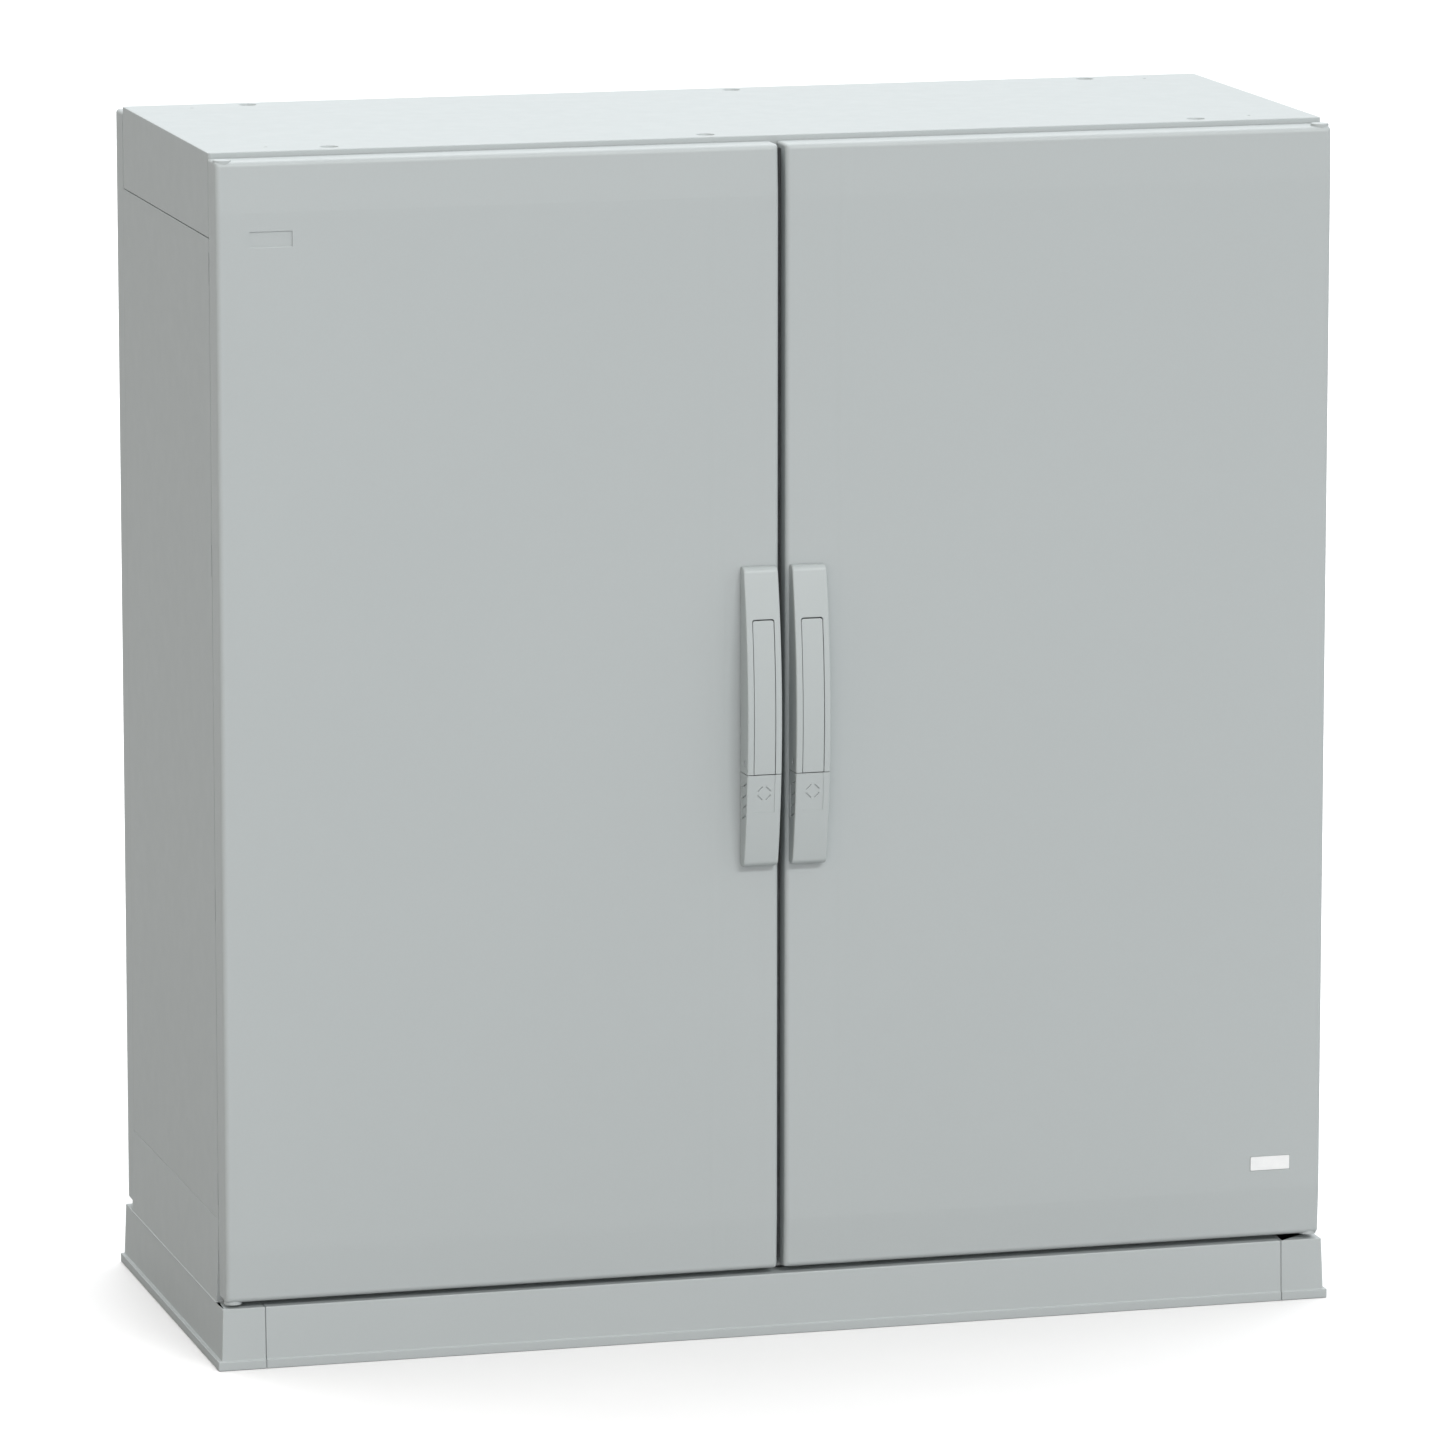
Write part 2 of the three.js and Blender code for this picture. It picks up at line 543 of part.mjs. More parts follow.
function lever() {
  const [py, pz] = LEVER_PIN,
    r = 7.6;
  // the front runs down to the seam; its lower corner stays within 12 mm of the pin
  const o = [[bow(LEVER_Z0, 0.2), LEVER_Z0], [bow(LEVER_Z0, 0.2) + 2.4, LEVER_Z0]];
  for (let k = 2; k <= 8; k++) {
    const a = Math.PI + (Math.PI * k) / 8;
    o.push([py + r * Math.cos(a), pz + r * Math.sin(a)]);
  }
  o.push([py + r, pz + 7], [py + 3, pz + 14], [-208.5, LEVER_Z1 - 30], [-207, LEVER_Z1]);
  const n = 10;
  for (let i = 0; i < n; i++) {
    const z = LEVER_Z1 - ((LEVER_Z1 - LEVER_Z0) * i) / n;
    o.push([bow(z, 0.2), z]);
  }
  const w = LEVER_W / 2;
  let s = alongX(ccw(o), HX - w, HX + w);
  // toothed sector that reaches back through the door
  const N = SECTOR_N;
  const full = gearOutline(py, pz, SECTOR_M, N, PA20, 1.5, 2.1, 0.5, -5, 1);
  const sector = ccw([[py, pz - 2], ...full, [py, pz + 4]]);
  s = join(s, alongX(sector, HX - 3.5, HX + 3.5));
  s = cut(s, cylX(py, pz, 2.7, HX - w - 1, HX + w + 1, 12));
  return s;
}
function lockCover() {
  const h = HANDLE_W / 2,
    t = 2.2;
  let s = alongX(bowOutline(HANDLE_Z0, HANDLE_SPLIT - GAP, 0, FACE, 8, 6, 0), HX - h, HX + h);
  s = cut(s, alongX(bowOutline(HANDLE_Z0 + 3, HANDLE_SPLIT + 5, t, FACE + 5, 8, 3, 0), HX - h + t, HX + h - t));
  // chamfer inside the upper rim, so that the lever's lower corner can swing past
  const e = HANDLE_SPLIT - GAP,
    y = bow(e, t);
  return cut(s, alongX(ccw([[y - 1.7, e + 1], [y - 1.7, e], [y, e - 1.7], [y + 1, e - 1.7], [y + 1, e + 1]]), HX - h + t, HX + h - t));
}
function lockInsert() {
  const key = new THREE.CylinderGeometry(4, 4, 6, 3);
  key.translate(HX, -214, 480.5);
  return cut(cylY(HX, 480.5, 6, -214.2, -203.4, 16), solid(key));
}
function lowerRod() {
  const x0 = HX - 6,
    x1 = HX + 6;
  const zc = LEVER_PIN[1];
  const mid = -187;
  // racks: front one meshes with the lever's sector, rear one with the pinion
  const front = rackOutline(RACK_FRONT_Y, zc, SECTOR_M, -4, 1, PA20, 1.5, 2.1, 0.5, -1, mid);
  const back = rackOutline(RACK_BACK_Y, PINION_Z, PINION_M, -7, 2, PA25, 0.9, 1.25, 0.4, 1, mid - 1);
  return join(
    alongX(ccw(front), x0, x1),
    alongX(ccw(back), x0, x1),
    box(x0, x1, -190, -184.2, 106, 492),
  );
}
function upperRod() {
  const x0 = HX - 6,
    x1 = HX + 6;
  const teeth = rackOutline(UPPER_RACK_Y, PINION_Z, PINION_M, -2, 7, PA25, 0.9, 1.25, 0.4, -1, -166);
  return join(alongX(ccw(teeth), x0, x1), box(x0, x1, -172, -166, 545, 1006));
}
function pinion() {
  const o = gearOutline(PINION_Y, PINION_Z, PINION_M, PINION_N, PA25, 0.9, 1.25, 0.4);
  return join(alongX(ccw(o), HX - 5, HX + 5), cylX(PINION_Y, PINION_Z, 2, HX - 13.4, HX + 13.4, 12));
}
function lockCase() {
  const y1 = -160,
    z0 = 486,
    z1 = 566;
  let s = join(
    box(HX - 13.6, HX - 11.2, DOOR_FRONT + WALL + GAP, y1, z0, z1),
    box(HX + 11.2, HX + 13.6, DOOR_FRONT + WALL + GAP, y1, z0, z1),
    box(HX - 13.6, HX + 13.6, y1 - 2.4, y1, z0, z1),
  );
  return cut(s, cylX(PINION_Y, PINION_Z, 2.3, HX - 14, HX + 14, 12));
}
function rodGuide(z, y0, y1) {
  // a bridge from the door's inner face, with a slot round the rod
  let s = box(HX - 11, HX + 11, DOOR_FRONT + WALL + GAP, y1 + 3, z - 6, z + 6);
  return cut(s, box(HX - 6.5, HX + 6.5, y0 - 0.5, y1 + 0.5, z - 7, z + 7));
}

// ---------------------------------------------------------------- doors
function doorShell() {
  const r = DOOR_EDGE_R,
    x0 = -HALF_W,
    x1 = -MEET_X;
  const rect = (inset, y) =>
    roundedRect(x0 + inset, x1 - inset, DOOR_Z0 + inset, DOOR_Z1 - inset, 3, 2).map(([x, z]) => [x, y, z]);
  let d = rings([
    rect(1.5, DOOR_REAR), rect(0.4, DOOR_REAR - 0.4), rect(0, DOOR_REAR - 1.5),
    rect(0, DOOR_FRONT + r), rect(r * 0.3, DOOR_FRONT + r * 0.3), rect(r, DOOR_FRONT),
  ]);
  d = cut(d, box(x0 + WALL, x1 - WALL, DOOR_FRONT + WALL, DOOR_REAR + 1, DOOR_Z0 + WALL, DOOR_Z1 - WALL));
  // bosses at the hinge side's corners
  d = join(d, cylZ(-HINGE_X, HINGE_Y, 7.9, DOOR_Z1 - 2, DOOR_Z1 + 1.2, 16), cylZ(-HINGE_X, HINGE_Y, 7.9, DOOR_Z0 - 2.2, DOOR_Z0 + 2, 16));
  // horizontal stiffening ribs on the inner face
  for (const z of [300, 820]) d = join(d, box(-455, -48, DOOR_FRONT + WALL - 1, DOOR_FRONT + WALL + 8, z - 2, z + 2));
  // slot for the lever's sector
  d = cut(d, box(HX - 4.2, HX + 4.2, DOOR_FRONT - 1, DOOR_FRONT + WALL + 1, 495, 537.5));
  return d;
}
const DOOR = doorShell();
// label recess: at the top on the left door, at the bottom on the right one
node("left_door", cut(DOOR, box(-471, -433.5, DOOR_FRONT - 1, DOOR_FRONT + 0.8, 981.6, 995)), "grp");
node("right_door", cut(mirrorX(DOOR), box(433.8, 471.3, DOOR_FRONT - 1, DOOR_FRONT + 0.8, 120.4, 133.8)), "grp");
node("label_plate", box(434.3, 470.8, DOOR_FRONT - 0.3, DOOR_FRONT + 0.5, 120.9, 133.3), "white");

function hingeStrip() {
  let s = box(-495.6, -478, DOOR_FRONT + WALL + GAP, -191.7, 128, 986);
  for (const z of HINGE_Z)
    for (const [a, b] of [
      [z - 15, z - 9],
      [z + 9, z + 15],
    ])
      s = join(s, box(-495.6, -488.4, -192, HINGE_Y, a, b), cylZ(-HINGE_X, HINGE_Y, 3.6, a, b, 12));
  for (const z of HINGE_Z) s = cut(s, cylZ(-HINGE_X, HINGE_Y, HINGE_PIN_R + 0.3, z - 16, z + 16, 12));
  return s;
}
function gasket() {
  const y0 = DOOR_FRONT + WALL + GAP,
    y1 = LIP_FRONT - GAP;
  return join(
    box(-466.9, -457, y0, y1, 89, 1026),
    box(-466.9, -9, y0, y1, 1013.5, 1026),
    box(-466.9, -9, y0, y1, 89, 100.5),
  );
}
const pieces = {
  hinge_strip: [hingeStrip(), "steel"],
  door_gasket: [gasket(), "rubber"],
  meeting_seal: [box(-2.8, -0.6, -180.5, -170, 65, 1050), "rubber"],
  handle_housing: [handleHousing(), "handle"],
  lever: [lever(), "handle"],
  lever_pin: [cylX(LEVER_PIN[0], LEVER_PIN[1], 2.4, HX - 15.4, HX + 15.4, 12), "steel"],
  lock_cover: [lockCover(), "handle"],
  lock_insert: [lockInsert(), "steel"],
  lock_case: [lockCase(), "steel"],
  lock_pinion: [pinion(), "steel"],
  lower_lock_rod: [lowerRod(), "steel"],
  upper_lock_rod: [upperRod(), "steel"],
  lower_rod_guide: [rodGuide(210, -190, -184.2), "steel"],
  upper_rod_guide: [rodGuide(900, -172, -166), "steel"],
};
for (const [name, [s, finish]] of Object.entries(pieces)) {
  node("left_" + name, s, finish);
  node("right_" + name, mirrorX(s), finish);
}

export default group;
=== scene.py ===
import math

import bpy
import bmesh
from mathutils import Matrix, Vector


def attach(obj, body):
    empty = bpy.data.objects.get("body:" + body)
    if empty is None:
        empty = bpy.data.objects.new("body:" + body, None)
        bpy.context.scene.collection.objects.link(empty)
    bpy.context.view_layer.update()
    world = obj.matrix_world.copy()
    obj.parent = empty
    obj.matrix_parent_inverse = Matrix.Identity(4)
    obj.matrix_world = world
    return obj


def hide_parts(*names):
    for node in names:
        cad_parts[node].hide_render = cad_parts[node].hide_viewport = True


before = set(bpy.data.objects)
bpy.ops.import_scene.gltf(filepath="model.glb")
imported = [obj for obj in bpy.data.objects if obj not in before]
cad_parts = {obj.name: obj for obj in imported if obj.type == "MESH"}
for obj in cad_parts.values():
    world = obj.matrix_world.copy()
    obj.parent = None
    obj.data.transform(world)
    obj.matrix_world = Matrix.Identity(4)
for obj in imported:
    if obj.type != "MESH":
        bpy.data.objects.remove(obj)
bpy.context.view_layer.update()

SCENE = bpy.context.scene
MM = 0.001

# ------------------------------------------------------------------ dimensions, millimetres
HALF_W = 500.0
BODY_FRONT, BODY_REAR = -167.0, 192.0
HEIGHT, ROOF_BOTTOM, BASE_TOP = 1060.0, 987.0, 128.0
WALL, GAP = 4.0, 0.3
OPEN_X, OPEN_Z0, OPEN_Z1 = 462.0, 96.0, 1018.0
LIP, LIP_FRONT, LIP_END = 3.0, -182.0, 9.5
DOOR_FRONT, DOOR_REAR, DOOR_Z0, DOOR_Z1, MEET_X = -198.0, -168.5, 59.2, 1055.0, 3.1
REAR_FACE = 222.0
FLANGE_X, FLANGE_H, PLINTH_TOP, CORNER_X = 507.5, 8.0, 54.2, 465.0
BASE_OUT, PLINTH_FRONT, PLINTH_REAR, FLANGE_FRONT, FLANGE_REAR = 504.3, -195.0, 219.0, -198.5, 222.0
HINGE_X, HINGE_Y, HINGE_Z = 492.0, -186.5, (154.5, 406.5, 708.0, 960.0)
HANDLE_X, HANDLE_W, HANDLE_Z0, HANDLE_Z1, SPLIT = 22.0, 31.8, 423.3, 688.0, 507.0
HANDLE_TOP_Z, HANDLE_OUT, HANDLE_R = 552.0, 23.5, 620.0
LEVER_W, LEVER_Z0, LEVER_Z1, PIN_Y, PIN_Z = 18.8, 507.4, 642.2, -211.0, 516.0
FACE = DOOR_FRONT - GAP


# ------------------------------------------------------------------ materials
def new_material(name):
    m = bpy.data.materials.new(name)
    m.use_nodes = True
    nt = m.node_tree
    nt.nodes.clear()
    out = nt.nodes.new("ShaderNodeOutputMaterial")
    bsdf = nt.nodes.new("ShaderNodeBsdfPrincipled")
    nt.links.new(bsdf.outputs["BSDF"], out.inputs["Surface"])
    return m, nt, bsdf


def coords(nt, scale=(1, 1, 1)):
    tc = nt.nodes.new("ShaderNodeTexCoord")
    mp = nt.nodes.new("ShaderNodeMapping")
    mp.inputs["Scale"].default_value = scale
    nt.links.new(tc.outputs["Object"], mp.inputs["Vector"])
    return mp.outputs["Vector"]


def noise(nt, vec, scale, detail=3.0, rough=0.55):
    n = nt.nodes.new("ShaderNodeTexNoise")
    n.inputs["Scale"].default_value = scale
    n.inputs["Detail"].default_value = detail
    n.inputs["Roughness"].default_value = rough
    nt.links.new(vec, n.inputs["Vector"])
    return n.outputs["Fac"]


def ramp(nt, fac, stops):
    r = nt.nodes.new("ShaderNodeValToRGB")
    e = r.color_ramp.elements
    while len(e) < len(stops):
        e.new(0.5)
    for el, (p, c) in zip(e, stops):
        el.position = p
        el.color = (c[0], c[1], c[2], 1)
    nt.links.new(fac, r.inputs["Fac"])
    return r.outputs["Color"]


def map_range(nt, fac, a, b, lo, hi):
    r = nt.nodes.new("ShaderNodeMapRange")
    r.inputs["From Min"].default_value = a
    r.inputs["From Max"].default_value = b
    r.inputs["To Min"].default_value = lo
    r.inputs["To Max"].default_value = hi
    nt.links.new(fac, r.inputs["Value"])
    return r.outputs["Result"]


def mix_rgb(nt, fac, a, b, mode="MIX"):
    n = nt.nodes.new("ShaderNodeMix")
    n.data_type = "RGBA"
    n.blend_type = mode
    if isinstance(fac, float):
        n.inputs[0].default_value = fac
    else:
        nt.links.new(fac, n.inputs[0])
    for sock, v in ((n.inputs[6], a), (n.inputs[7], b)):
        if isinstance(v, tuple):
            sock.default_value = (*v, 1)
        else:
            nt.links.new(v, sock)
    return n.outputs[2]


def bump(nt, bsdf, height, strength, distance, normal=None):
    b = nt.nodes.new("ShaderNodeBump")
    b.inputs["Strength"].default_value = strength
    b.inputs["Distance"].default_value = distance
    nt.links.new(height, b.inputs["Height"])
    if normal is not None:
        nt.links.new(normal, b.inputs["Normal"])
    nt.links.new(b.outputs["Normal"], bsdf.inputs["Normal"])
    return b.outputs["Normal"]


def shade(c, k):
    return tuple(v * k for v in c)


def moulded_plastic(name, base, rough=0.46, grain=1400.0, grain_strength=0.10, cloud=0.007, spec=0.45):
    """Moulded polyester: faint cloudiness, fine grain with a little orange peel, small changes of gloss."""
    m, nt, bsdf = new_material(name)
    v = coords(nt)
    cloud_n = noise(nt, v, 3.2, 4.0, 0.6)
    col = ramp(nt, cloud_n, [(0.30, shade(base, 1 - cloud)), (0.70, shade(base, 1 + cloud))])
    fleck = noise(nt, v, 620.0, 2.0, 0.5)
    col = mix_rgb(nt, map_range(nt, fleck, 0.35, 0.72, 0.0, 0.22), col, shade(base, 0.95))
    nt.links.new(col, bsdf.inputs["Base Color"])
    r = noise(nt, v, 55.0, 3.0, 0.6)
    nt.links.new(map_range(nt, r, 0.3, 0.7, rough - 0.03, rough + 0.04), bsdf.inputs["Roughness"])
    bsdf.inputs["Specular IOR Level"].default_value = spec
    bsdf.inputs["IOR"].default_value = 1.5
    peel = bump(nt, bsdf, noise(nt, v, 190.0, 2.0, 0.4), 0.05, 0.0006)
    bump(nt, bsdf, noise(nt, v, grain, 2.0, 0.6), grain_strength, 0.00012, peel)
    return m


def plated_steel(name, base, rough=0.34, streak=(1, 1, 60)):
    """Zinc-plated steel: rolled streaks, patchy tone and gloss, light scratches."""
    m, nt, bsdf = new_material(name)
    v = coords(nt)
    vs = coords(nt, streak)
    patch = noise(nt, v, 26.0, 4.0, 0.65)
    col = ramp(nt, patch, [(0.25, shade(base, 0.86)), (0.6, base), (0.85, shade(base, 1.07))])
    lines = noise(nt, vs, 40.0, 5.0, 0.7)
    col = mix_rgb(nt, map_range(nt, lines, 0.35, 0.75, 0.0, 0.35), col, shade(base, 0.8))
    nt.links.new(col, bsdf.inputs["Base Color"])
    bsdf.inputs["Metallic"].default_value = 1.0
    nt.links.new(map_range(nt, lines, 0.3, 0.7, rough - 0.06, rough + 0.14), bsdf.inputs["Roughness"])
    bump(nt, bsdf, lines, 0.08, 0.0002)
    return m


def galvanised(name, base):
    """Hot-dip galvanised sheet: crystal spangle in tone and gloss."""
    m, nt, bsdf = new_material(name)
    v = coords(nt)
    vor = nt.nodes.new("ShaderNodeTexVoronoi")
    vor.inputs["Scale"].default_value = 135.0
    warp = mix_rgb(nt, 0.012, v, noise_color(nt, v, 30.0))
    nt.links.new(warp, vor.inputs["Vector"])
    sep = nt.nodes.new("ShaderNodeSeparateColor")
    nt.links.new(vor.outputs["Color"], sep.inputs["Color"])
    cell = sep.outputs["Red"]
    col = ramp(nt, cell, [(0.0, shade(base, 0.9)), (0.5, base), (1.0, shade(base, 1.06))])
    nt.links.new(col, bsdf.inputs["Base Color"])
    bsdf.inputs["Metallic"].default_value = 1.0
    nt.links.new(map_range(nt, cell, 0.0, 1.0, 0.36, 0.48), bsdf.inputs["Roughness"])
    bump(nt, bsdf, vor.outputs["Distance"], 0.05, 0.0003)
    return m


def noise_color(nt, vec, scale):
    n = nt.nodes.new("ShaderNodeTexNoise")
    n.inputs["Scale"].default_value = scale
    nt.links.new(vec, n.inputs["Vector"])
    return n.outputs["Color"]


def rubber(name, base, rough=0.78):
    m, nt, bsdf = new_material(name)
    v = coords(nt)
    col = ramp(nt, noise(nt, v, 60.0, 4.0), [(0.3, shade(base, 0.8)), (0.75, shade(base, 1.7))])
    nt.links.new(col, bsdf.inputs["Base Color"])
    nt.links.new(map_range(nt, noise(nt, v, 300.0), 0.3, 0.7, rough - 0.08, rough + 0.1), bsdf.inputs["Roughness"])
    bsdf.inputs["Specular IOR Level"].default_value = 0.35
    bump(nt, bsdf, noise(nt, v, 900.0, 2.0), 0.25, 0.0002)
    return m


SHELL_COL = (0.425, 0.462, 0.462)
HANDLE_COL = (0.436, 0.476, 0.474)
M_SHELL = moulded_plastic("polyester_shell", SHELL_COL)
M_SHELL_IN = moulded_plastic("polyester_inner", shade(SHELL_COL, 0.97), rough=0.55, grain_strength=0.3, cloud=0.03)
M_HANDLE = moulded_plastic("polyamide_handle", HANDLE_COL, rough=0.4, grain=1900.0, grain_strength=0.07, cloud=0.01)
M_STEEL = plated_steel("zinc_plated_steel", (0.60, 0.61, 0.62))
M_SCREW = plated_steel("screw_steel", (0.55, 0.55, 0.54), rough=0.3, streak=(1, 1, 1))
M_GALV = galvanised("galvanised_sheet", (0.62, 0.64, 0.66))
M_RUBBER = rubber("seal_rubber", (0.020, 0.021, 0.022))
M_SEAL = rubber("meeting_seal_rubber", (0.060, 0.063, 0.064))
M_INSERT = plated_steel("nickel_insert", (0.66, 0.64, 0.60), rough=0.24, streak=(30, 1, 30))


def label_material():
    m, nt, bsdf = new_material("label_plate_white")
    v = coords(nt)
    col = ramp(nt, noise(nt, v, 90.0, 3.0), [(0.3, (0.80, 0.82, 0.82)), (0.75, (0.86, 0.88, 0.875))])
    nt.links.new(col, bsdf.inputs["Base Color"])
    nt.links.new(map_range(nt, noise(nt, v, 260.0), 0.3, 0.7, 0.28, 0.4), bsdf.inputs["Roughness"])
    bump(nt, bsdf, noise(nt, v, 700.0, 2.0), 0.08, 0.0001)
    return m


M_LABEL = label_material()


# ------------------------------------------------------------------ mesh helpers
def link(me, name):
    ob = bpy.data.objects.new(name, me)
    SCENE.collection.objects.link(ob)
    return ob


def from_faces(name, verts, faces):
    me = bpy.data.meshes.new(name)
    me.from_pydata([(x * MM, y * MM, z * MM) for x, y, z in verts], [], faces)
    bm = bmesh.new()
    bm.from_mesh(me)
    bmesh.ops.recalc_face_normals(bm, faces=bm.faces)
    bm.to_mesh(me)
    bm.free()
    me.update()
    return link(me, name)


def rings(name, loops):
    """A closed solid through convex loops of points, each with as many points."""
    n = len(loops[0])
    verts = [p for loop in loops for p in loop]
    faces = []
    for k in range(len(loops) - 1):
        for i in range(n):
            a, b = k * n + i, k * n + (i + 1) % n
            faces.append((a, b, b + n, a + n))
    faces.append(tuple(range(n))[::-1])
    last = (len(loops) - 1) * n
    faces.append(tuple(range(last, last + n)))
    return from_faces(name, verts, faces)


def block(name, x0, x1, y0, y1, z0, z1):
    v = [(x, y, z) for x in (x0, x1) for y in (y0, y1) for z in (z0, z1)]
    f = [(0, 1, 3, 2), (4, 6, 7, 5), (0, 4, 5, 1), (2, 3, 7, 6), (0, 2, 6, 4), (1, 5, 7, 3)]
    return from_faces(name, v, f)


def taper(name, a, z0, b, z1):
    x0, x1, y0, y1 = a
    X0, X1, Y0, Y1 = b
    return rings(name, [
        [(x0, y0, z0), (x1, y0, z0), (x1, y1, z0), (x0, y1, z0)],
        [(X0, Y0, z1), (X1, Y0, z1), (X1, Y1, z1), (X0, Y1, z1)],
    ])


def prism_x(name, outline, x0, x1):
    return rings(name, [[(x0, y, z) for y, z in outline], [(x1, y, z) for y, z in outline]])


def prism_z(name, outline, z0, z1):
    return rings(name, [[(x, y, z0) for x, y in outline], [(x, y, z1) for x, y in outline]])


def prism_y(name, outline, y0, y1):
    return rings(name, [[(x, y0, z) for x, z in outline], [(x, y1, z) for x, z in outline]])


def circle(cx, cy, r, n=48, start=0.0):
    return [(cx + r * math.cos(start + 2 * math.pi * i / n), cy + r * math.sin(start + 2 * math.pi * i / n)) for i in range(n)]


def rounded_rect(u0, u1, v0, v1, r, n=6):
    pts = []
    for u, v, a in ((u1 - r, v0 + r, -90), (u1 - r, v1 - r, 0), (u0 + r, v1 - r, 90), (u0 + r, v0 + r, 180)):
        for i in range(n + 1):
            t = math.radians(a + 90 * i / n)
            pts.append((u + r * math.cos(t), v + r * math.sin(t)))
    return pts


def bake(ob):
    """The object's modifiers become its mesh."""
    dg = bpy.context.evaluated_depsgraph_get()
    dg.update()
    me = bpy.data.meshes.new_from_object(ob.evaluated_get(dg))
    old = ob.data
    ob.modifiers.clear()
    ob.data = me
    bpy.data.meshes.remove(old)
    return ob


def boolean(ob, tools, op="DIFFERENCE"):
    for t in tools if isinstance(tools, (list, tuple)) else [tools]:
        m = ob.modifiers.new("cut", "BOOLEAN")
        m.operation = op
        m.object = t
        m.solver = "EXACT"
        bake(ob)
        me = t.data
        bpy.data.objects.remove(t)
        bpy.data.meshes.remove(me)
    return ob


def merge(name, obs):
    """Several objects as one mesh, without a boolean."""
    bm = bmesh.new()
    for o in obs:
        bm.from_mesh(o.data)
    me = bpy.data.meshes.new(name)
    bm.to_mesh(me)
    bm.free()
    for o in obs:
        m = o.data
        bpy.data.objects.remove(o)
        bpy.data.meshes.remove(m)
    return link(me, name)


def tidy(ob, dist=0.01):
    """Doubles merged, thin leftovers dissolved, so that a bevel has clean edges to work on."""
    bm = bmesh.new()
    bm.from_mesh(ob.data)
    bmesh.ops.remove_doubles(bm, verts=bm.verts, dist=dist * MM)
    bmesh.ops.dissolve_degenerate(bm, dist=dist * MM, edges=bm.edges)
    bmesh.ops.dissolve_limit(bm, angle_limit=math.radians(0.3), verts=bm.verts, edges=bm.edges, use_dissolve_boundaries=False)
    bm.to_mesh(ob.data)
    bm.free()
    return ob


def soften(ob, width=0.8, segs=3, angle=34, smooth=40):
    """Moulded edges: a small bevel on every edge sharper than the angle, then normals weighted by face size."""
    if width:
        m = ob.modifiers.new("edge", "BEVEL")
        m.width = width * MM
        m.segments = segs
        m.limit_method = "ANGLE"
        m.angle_limit = math.radians(angle)
        m.use_clamp_overlap = True
        m.miter_outer = "MITER_ARC"
        bake(ob)
    shade_by_angle(ob, smooth)
    return ob


def shade_by_angle(ob, smooth=40):
    me = ob.data
    me.polygons.foreach_set("use_smooth", [True] * len(me.polygons))
    me.set_sharp_from_angle(angle=math.radians(smooth))
    w = ob.modifiers.new("weighted", "WEIGHTED_NORMAL")
    w.mode = "FACE_AREA"
    w.weight = 80
    w.keep_sharp = True


def finish_piece(ob, mat, body, replaces=()):
    ob.data.materials.clear()
    ob.data.materials.append(mat)
    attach(ob, body)
    if replaces:
        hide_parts(*([replaces] if isinstance(replaces, str) else replaces))
    return ob


def mirrored(ob, name):
    me = ob.data.copy()
    me.name = name
    me.transform(Matrix.Scale(-1, 4, (1, 0, 0)))
    bm = bmesh.new()
    bm.from_mesh(me)
    bmesh.ops.reverse_faces(bm, faces=bm.faces)
    bm.to_mesh(me)
    bm.free()
    return link(me, name)


